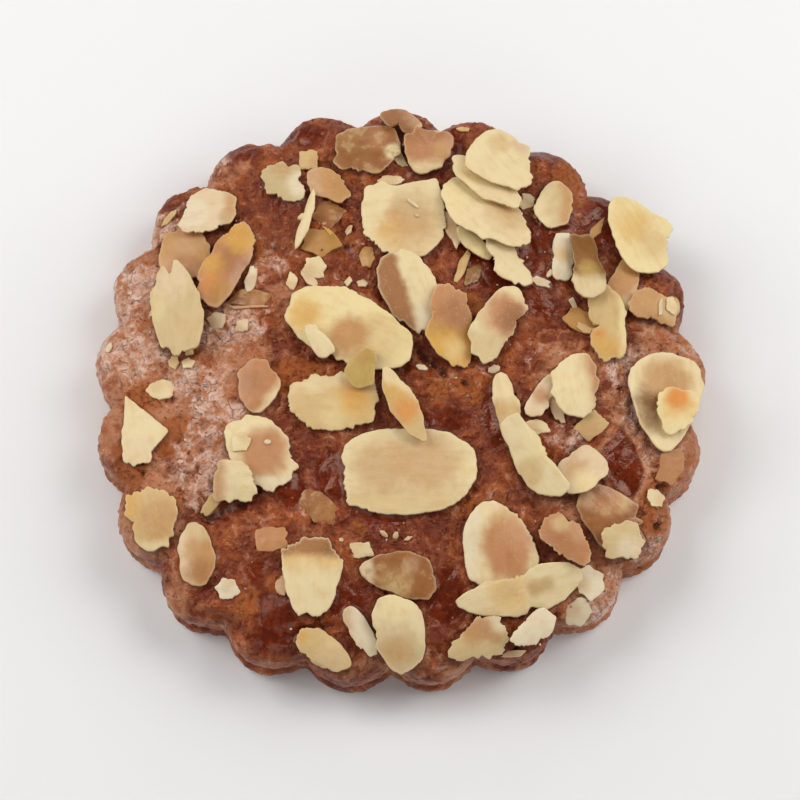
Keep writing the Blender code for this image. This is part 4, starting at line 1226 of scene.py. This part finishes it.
def plate_master(columns):
    """A closed plate with a rounded rim: rings drawn out and down from a hub."""
    deselect_all()
    inner = max(5, columns // 9)  # rings of the top
    step = PLATE_TOP / inner
    bpy.ops.mesh.primitive_circle_add(vertices=columns, radius=step, fill_type="TRIFAN", location=(0, 0, 1))
    plate = named(f"plate_{columns}")
    bpy.ops.object.transform_apply(location=True, rotation=False, scale=False)
    bpy.ops.object.mode_set(mode="EDIT")
    bpy.ops.mesh.select_mode(type="EDGE")
    bpy.ops.mesh.select_all(action="DESELECT")
    bpy.ops.mesh.select_non_manifold()
    rings = [(step * (i + 1), 1.0) for i in range(1, inner)]
    rings += [*PLATE_RIM, *((radius, 0.0) for radius in (*PLATE_BASE, step))]
    radius, height = step, 1.0
    for next_radius, next_height in rings:
        bpy.ops.mesh.extrude_edges_move(TRANSFORM_OT_translate={"value": (0, 0, next_height - height)})
        bpy.ops.transform.resize(value=(next_radius / radius, next_radius / radius, 1))
        radius, height = next_radius, next_height
    bpy.ops.mesh.edge_face_add()
    bpy.ops.mesh.select_all(action="SELECT")
    bpy.ops.mesh.normals_make_consistent(inside=False)
    bpy.ops.object.mode_set(mode="OBJECT")
    return plate


class Plates:
    """Plate masters by their number of columns, each modelled once and copied."""

    def __init__(self):
        self.masters = {}

    def copy(self, name, columns):
        """A copy of the master that has so many columns, with a mesh of its own."""
        if columns not in self.masters:
            self.masters[columns] = plate_master(columns)
        mesh = self.masters[columns].data.copy()
        mesh.name = name
        piece = bpy.data.objects.new(name, mesh)
        bpy.context.scene.collection.objects.link(piece)
        return piece

    def remove(self):
        for master in self.masters.values():
            bpy.data.objects.remove(master)


def measured_slice(node):
    """The rim, middle, resting plane and bow of a slice's solid, in mm."""
    mesh = bmesh.new()
    mesh.from_mesh(frame["nodes"][node].data)
    bmesh.ops.remove_doubles(mesh, verts=mesh.verts, dist=1e-7)
    mesh.normal_update()
    sides = {vert for face in mesh.faces if abs(face.normal.z) < 0.3 for vert in face.verts}
    upper = [vert for vert in mesh.verts if vert not in sides and vert.normal.z > 0]
    hub = max(upper, key=lambda vert: len(vert.link_edges)).co / MM
    rim = np.array([vert.co / MM for vert in sides])
    mesh.free()
    pairs = {}
    for x, y, z in rim:
        pairs.setdefault((round(x, 2), round(y, 2)), []).append(z)
    rim = np.array([(x, y, max(heights)) for (x, y), heights in pairs.items()])
    order = np.argsort(np.arctan2(rim[:, 1] - hub.y, rim[:, 0] - hub.x))
    rim = rim[order]
    flat = np.stack((rim[:, 0], rim[:, 1], np.ones(len(rim))), axis=1)
    plane = np.linalg.lstsq(flat, rim[:, 2], rcond=None)[0]
    bow = hub.z - plane @ np.array((hub.x, hub.y, 1.0))
    return rim[:, :2] - (hub.x, hub.y), np.array((hub.x, hub.y)), plane, bow


def towards(points, turn, half_width):
    """How far points lie off a direction, in degrees, and a share that falls to 0 past a half width."""
    angle = np.degrees(np.arctan2(points[:, 1], points[:, 0]))
    off = np.abs((angle - turn + 180) % 360 - 180)
    return off, 1 - smoothstep(half_width * 0.8, half_width * 1.2 + 6, off)


def broken_rim(outline, look, rag, seed):
    """The rim's outline with its teeth and notches: how far it is drawn in at each point."""
    flat = seeded(outline, seed)
    teeth = 0.55 * np.abs(noise_at(flat, 1.6, 3.0)) + 0.5 * np.abs(noise_at(flat, 0.7, 8.0))
    wander = 0.35 * noise_at(flat, 3.2, 5.0)
    torn = np.full(len(outline), 0.25)
    for turn, half_width in look.rough:
        torn = np.maximum(torn, 1.0 if half_width >= 180 else towards(outline, turn, half_width)[1])
    drawn = rag * torn * (2.4 * teeth - 0.3) + 0.25 * rag * wander * (0.4 + torn)
    for turn, depth, half_width in look.notches:
        off = towards(outline, turn, half_width)[0]
        drawn += depth * np.maximum(0.0, 1 - off / half_width) ** 0.8
    return drawn


def stained(places, look, tones, seed):
    """Tone of each point of a slice, at places in mm from its middle."""
    uneven = rough_at(seeded(places, seed), 2.2, 13.0, 3)
    colours = np.tile(np.array(getattr(tones, look.tone)), (len(places), 1))
    for stain in look.stains:
        turn = math.radians(stain.turn)
        direction = np.array((math.cos(turn), math.sin(turn)))
        if stain.size:
            distance = np.linalg.norm(places - stain.reach * direction, axis=1) - stain.size
            share = 1 - smoothstep(-stain.blur, stain.blur, distance + 0.45 * stain.blur * uneven)
        else:
            distance = places @ direction - stain.reach
            share = smoothstep(-stain.blur, stain.blur, distance + 0.6 * stain.blur * uneven)
        share = (stain.strength * share)[:, None]
        colours = colours * (1 - share) + np.array(getattr(tones, stain.tone)) * share
    return colours


def shape_plate(piece, outline, drawn, top, thickness, relief):
    """Points of a plate moved on to an outline: places in plan, shares of the way to the rim, and heights.

    The height of the top and its relief are given at (places, share)."""
    unit = positions(piece.data)
    columns = len(outline)
    share = np.hypot(unit[:, 0], unit[:, 1])
    angle = np.arctan2(unit[:, 1], unit[:, 0])
    column = np.rint(angle / (2 * math.pi) * columns).astype(int) % columns
    rim = outline[column]
    reach = np.linalg.norm(rim, axis=1, keepdims=True)
    inward = rim / np.maximum(reach, 1e-6) * drawn[column][:, None]
    places = rim * share[:, None] - inward * (share[:, None] ** 5)
    z = top(places, share) - thickness * (1 - unit[:, 2]) + relief(places, share)
    return places, share, z


def seeded(places, seed):
    """Points in plan as points in space, at a height of their own, for noise."""
    return np.column_stack((places, np.full(len(places), seed)))


def dressed_plate(piece, colours, grain, glaze):
    """Paints an almond's tones, the direction of its grain and its glaze."""
    paint_colour(piece.data, "tone", colours)
    paint_vector(piece.data, "grain", grain)
    paint(piece.data, "glaze", np.full(len(colours), glaze))


def lay_slice(number, look, plates, tones, material):
    """One dressed almond slice on its solid's place."""
    node = f"almond_flake_{number:02d}"
    rim, middle, plane, bow = measured_slice(node)
    perimeter = float(np.sum(np.linalg.norm(rim - np.roll(rim, 1, axis=0), axis=1)))
    columns = int(np.clip(round(perimeter / (tones.spacing / MM) / 24), 3, 12)) * 24
    outline = resampled(np.vstack((rim, rim[:1])), columns + 1)[:-1]
    measured = np.array(RIMS[number]) / 10
    angle = np.arctan2(outline[:, 1], outline[:, 0]) / (2 * math.pi) * len(measured)
    out = np.interp(angle, np.arange(len(measured)), measured, period=len(measured))
    outline *= (1 + out / np.linalg.norm(outline, axis=1))[:, None]
    outline = (np.roll(outline, 1, axis=0) + 2 * outline + np.roll(outline, -1, axis=0)) / 4
    seed = 10.0 * number
    drawn = broken_rim(outline, look, tones.rag / MM, seed)
    piece = plates.copy(f"almond_slice_{number:02d}", columns)

    def top(places, share):
        return (places + middle) @ plane[:2] + plane[2] + bow * (1 - share**2) - tones.sink / MM

    def relief(places, share):
        flat = seeded(places, seed)
        wave = 0.16 * noise_at(flat, 4.5, 2.0) + 0.05 * noise_at(flat, 1.3, 4.0)
        return wave * (0.4 + 0.6 * share)

    places, share, z = shape_plate(piece, outline, drawn, top, tones.thickness / MM, relief)
    place_points(piece.data, np.column_stack((places + middle, z)))
    colours = stained(places, look, tones, seed)
    rim_tone = np.array(tones.cream) * 0.55 + np.array(getattr(tones, look.tone)) * 0.45
    fresh = (smoothstep(0.93, 0.99, share) * 0.7)[:, None]
    colours = colours * (1 - fresh) + rim_tone * fresh
    along = np.linalg.eigh(np.cov(rim.T))[1][:, 1]
    across = np.array((-along[1], along[0]))
    grain = seeded(np.column_stack((places @ along, places @ across)), seed)
    dressed_plate(piece, colours, grain, look.glaze)
    return finished(piece, material, "almond", node)


def surface_of(things):
    """One search tree over the meshes of several pieces."""
    points, faces, base = [], [], 0
    for thing in things:
        points += [vert.co.copy() for vert in thing.data.vertices]
        faces += [[base + corner for corner in face.vertices] for face in thing.data.polygons]
        base = len(points)
    return BVHTree.FromPolygons(points, faces)


def joined(things, name):
    """Several pieces as one."""
    deselect_all()
    for thing in things:
        thing.select_set(True)
    bpy.context.view_layer.objects.active = things[0]
    bpy.ops.object.join()
    return named(name)


def lay_chip(number, chip, plates, tones, ground):
    """A small broken bit with four to six corners, half sunk in what it lies on and leaning with it."""
    columns = 48 if chip.length > 2.5 else 24
    angle = np.linspace(0, 2 * math.pi, columns, endpoint=False)
    flat = seeded(np.column_stack((np.cos(angle), np.sin(angle))), 5.0 * number)
    side = 2 * math.pi / (4 + number % 3)
    angular = math.cos(side / 2) / np.cos((angle + number) % side - side / 2)
    uneven = 1.14 * angular**0.9 * (1 + 0.2 * noise_at(flat, 0.9, 1.0) + 0.14 * noise_at(flat, 0.3, 2.0))
    along = np.cos(angle) * chip.length / 2 * uneven
    across = np.sin(angle) * chip.width / 2 * uneven
    turn = math.radians(chip.turn)
    outline = np.column_stack(
        (along * math.cos(turn) - across * math.sin(turn), along * math.sin(turn) + across * math.cos(turn))
    )
    middle = np.array((chip.x + RING_MIDDLE[0], chip.y + RING_MIDDLE[1]))
    felt = []
    for x, y in np.vstack((outline * 0.8, outline * 0.4, ((0.0, 0.0),))):
        place = Vector(((middle[0] + x) * MM, (middle[1] + y) * MM, OVER_ALL))
        hit = ground.ray_cast(place, DOWN)[0]
        if hit is not None and hit.z > CHIP_GROUND * MM:
            felt.append((x, y, 1.0, hit.z / MM))
    felt = np.array(felt)
    plane = np.linalg.lstsq(felt[:, :3], felt[:, 3], rcond=None)[0]
    steep = math.hypot(plane[0], plane[1])
    plane[:2] *= min(1.0, CHIP_SLOPE / max(steep, 1e-6))
    bump = float(np.max(felt[:, 3] - felt[:, :3] @ plane))  # how far the ground stands over that plane
    proud = CHIP_PROUD - 0.2 * chip.glaze + min(CHIP_PROUD, 0.8 * bump) * (1 - 0.6 * chip.glaze)
    piece = plates.copy(f"chip_{number:02d}", columns)

    def top(places, share):
        return places @ plane[:2] + plane[2] + proud + 0.12 * (1 - share**2)

    def relief(places, share):
        return 0.09 * noise_at(seeded(places, 7.0 * number), 1.2)

    places, _, z = shape_plate(piece, outline, np.zeros(columns), top, CHIP_THICKNESS, relief)
    place_points(piece.data, np.column_stack((places + middle, z)))
    seed = 3.0 * number
    look = Look(chip.tone, (Stain("tan", 40.0 * number, 0.3 * chip.width, 0.3 * chip.length, 0.8, 0.35),))
    dressed_plate(piece, stained(places, look, tones, seed), seeded(places, seed), chip.glaze)
    return piece


def scatter_crumbs(name, count, sizes, ground, draw, near=None):
    """Small angular crumbs dropped on what lies under them, as one piece."""
    deselect_all()
    bpy.ops.mesh.primitive_ico_sphere_add(subdivisions=1, radius=1)
    master = named("crumb")
    shape = positions(master.data)
    crumbs = []
    while len(crumbs) < count:
        if near is None:
            angle, reach = draw.uniform(0, 2 * math.pi), CRUMB_REACH * math.sqrt(draw.random())
            x, y = reach * math.cos(angle), reach * math.sin(angle)
        else:
            x, y, spread = draw.choice(near)
            x, y = x + draw.gauss(0, spread), y + draw.gauss(0, spread)
        hit, facing, _, _ = ground.ray_cast(Vector((x * MM, y * MM, OVER_ALL)), DOWN)
        if hit is None or hit.z < CRUMB_GROUND * MM or facing.z < 0.5:
            continue
        size = draw.uniform(*sizes)
        rough = np.array([[draw.uniform(0.7, 1.25) for _ in range(3)] for _ in range(len(shape))])
        stretch = np.array([draw.uniform(0.6, 1.3), draw.uniform(0.6, 1.3), draw.uniform(0.4, 0.8)])
        turn = draw.uniform(0, math.pi)
        c, s = math.cos(turn), math.sin(turn)
        turned = (shape * rough * stretch * size) @ np.array(((c, s, 0), (-s, c, 0), (0, 0, 1)))
        mesh = master.data.copy()
        place_points(mesh, turned + np.array((x, y, hit.z / MM + 0.15 * size)))
        crumb = bpy.data.objects.new("crumb", mesh)
        bpy.context.scene.collection.objects.link(crumb)
        crumbs.append(crumb)
    bpy.data.objects.remove(master)
    return joined(crumbs, name)


# ---------------------------------------------------------------- operators


class SPECULAAS_OT_set_stage(bpy.types.Operator):
    """Adds the floor, the soft lights and the camera"""

    bl_idname = "speculaas.set_stage"
    bl_label = "Set Stage"

    def execute(self, context):
        settings = context.scene.speculaas_stage
        deselect_all()
        bpy.ops.mesh.primitive_plane_add(size=6.0)
        floor = named("floor")
        floor.data.materials.append(floor_material(settings))

        distance = settings.view_width * settings.lens / SENSOR_WIDTH
        back = Vector((0.0, -math.cos(settings.elevation), math.sin(settings.elevation)))
        turn = (math.radians(90) - settings.elevation, 0.0, 0.0)
        bpy.ops.object.camera_add(location=LOOK_AT + back * distance, rotation=turn)
        camera = bpy.context.object
        camera.data.lens = settings.lens
        camera.data.sensor_width = SENSOR_WIDTH
        camera.data.clip_start = 0.01
        context.scene.camera = camera

        for name, place, size, power in (
            ("left_softbox", (-0.44, 0.06, 0.29), 0.34, settings.side_power),
            ("right_softbox", (0.44, 0.06, 0.29), 0.34, settings.side_power),
            ("left_sheen", (-0.28, 0.16, 0.50), 0.24, settings.sheen_power),
            ("right_sheen", (0.28, 0.16, 0.50), 0.24, settings.sheen_power),
            ("front_softbox", (0.0, -0.48, 0.36), 0.34, settings.end_power),
            ("back_softbox", (0.0, 0.50, 0.28), 0.34, settings.end_power),
        ):
            bpy.ops.object.light_add(type="AREA", location=place)
            light = bpy.context.object
            light.name = name
            light.data.shape = "SQUARE"
            light.data.size = size
            light.data.energy = power
            light.rotation_euler = (-Vector(place)).to_track_quat("-Z", "Y").to_euler()

        world = bpy.data.worlds.new("soft_room")
        world.use_nodes = True
        world.node_tree.nodes["Background"].inputs["Color"].default_value = (1.0, 1.0, 1.0, 1.0)
        world.node_tree.nodes["Background"].inputs["Strength"].default_value = settings.fill
        context.scene.world = world
        context.scene.view_settings.view_transform = "Standard"
        return {"FINISHED"}


class SPECULAAS_OT_lay_slices(bpy.types.Operator):
    """Lays the almond slices on their solids' places"""

    bl_idname = "speculaas.lay_slices"
    bl_label = "Lay Almond Slices"

    def execute(self, context):
        tones = context.scene.speculaas_almonds
        material = almond_material(tones)
        plates = Plates()
        for number, look in LOOKS.items():
            lay_slice(number, look, plates, tones, material)
        plates.remove()
        return {"FINISHED"}


class SPECULAAS_OT_bake_crust(bpy.types.Operator):
    """Bakes the crust, which rises to meet the slices on it"""

    bl_idname = "speculaas.bake_crust"
    bl_label = "Bake Crust"

    def execute(self, context):
        bake_crust(context.scene.speculaas_crust, surface_of(pieces_named("almond_slice")))
        return {"FINISHED"}


class SPECULAAS_OT_strew_chips(bpy.types.Operator):
    """Strews the small almond chips and the crumbs"""

    bl_idname = "speculaas.strew_chips"
    bl_label = "Strew Chips and Crumbs"

    def execute(self, context):
        tones = context.scene.speculaas_almonds
        draw = random.Random(8)
        crust = pieces_named("baked_crust")
        ground = surface_of(crust)
        slices = surface_of(crust + pieces_named("almond_slice"))
        plates = Plates()
        chips = [
            lay_chip(number, chip, plates, tones, slices if chip.high else ground)
            for number, chip in enumerate(CHIPS)
        ]
        plates.remove()
        material = bpy.data.materials["flaked_almond"]
        chips = finished(joined(chips, "almond_chips"), material, "almond")

        near = []
        for number, look in LOOKS.items():
            if look.rough:
                low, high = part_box(f"almond_flake_{number:02d}")
                middle = (low + high) / 2 / MM
                near.append((middle.x, middle.y, (high.x - low.x) / MM * 0.45))
        crumbs = scatter_crumbs("almond_crumbs", 110, (0.1, 0.26), ground, draw, near)
        grain = positions(crumbs.data) / MM
        dressed_plate(crumbs, np.tile(np.array(tones.white), (len(grain), 1)), grain, 0.0)
        finished(crumbs, material, "almond")

        brown = scatter_crumbs("crust_crumbs", 260, (0.14, 0.42), ground, draw)
        for name, value in CRUMB_SKIN.items():
            paint(brown.data, name, np.full(len(brown.data.vertices), value))
        finished(brown, bpy.data.materials["baked_crust"], "crust")
        return {"FINISHED"}


class SPECULAAS_PT_pieces(bpy.types.Panel):
    """The cookie's pieces and what can be changed about them"""

    bl_idname = "SPECULAAS_PT_pieces"
    bl_label = "Speculaas"
    bl_space_type = "VIEW_3D"
    bl_region_type = "UI"
    bl_category = "Speculaas"

    def draw(self, context):
        for operator, group in PANEL_ROWS:
            box = self.layout.box()
            box.operator(operator)
            settings = getattr(context.scene, group)
            for name in settings.__annotations__:
                box.prop(settings, name)


def pieces_named(start):
    """The pieces whose names start alike."""
    meshes = (thing for thing in bpy.context.scene.objects if thing.type == "MESH")
    return [thing for thing in meshes if thing.name.startswith(start)]


SETTINGS = {
    "speculaas_stage": StageSettings,
    "speculaas_almonds": AlmondSettings,
    "speculaas_crust": CrustSettings,
}
PANEL_ROWS = (
    ("speculaas.set_stage", "speculaas_stage"),
    ("speculaas.lay_slices", "speculaas_almonds"),
    ("speculaas.bake_crust", "speculaas_crust"),
    ("speculaas.strew_chips", "speculaas_almonds"),
)
CLASSES = (
    CrustSettings,
    AlmondSettings,
    StageSettings,
    SPECULAAS_OT_set_stage,
    SPECULAAS_OT_lay_slices,
    SPECULAAS_OT_bake_crust,
    SPECULAAS_OT_strew_chips,
    SPECULAAS_PT_pieces,
)


def register():
    for made in CLASSES:
        bpy.utils.register_class(made)
    for name, group in SETTINGS.items():
        setattr(bpy.types.Scene, name, PointerProperty(type=group))


def unregister():
    for name in SETTINGS:
        delattr(bpy.types.Scene, name)
    for made in reversed(CLASSES):
        bpy.utils.unregister_class(made)


def main():
    """Makes every piece in order."""
    register()
    bpy.ops.speculaas.set_stage()
    bpy.ops.speculaas.lay_slices()
    bpy.ops.speculaas.bake_crust()
    bpy.ops.speculaas.strew_chips()


if __name__ == "__main__":
    main()
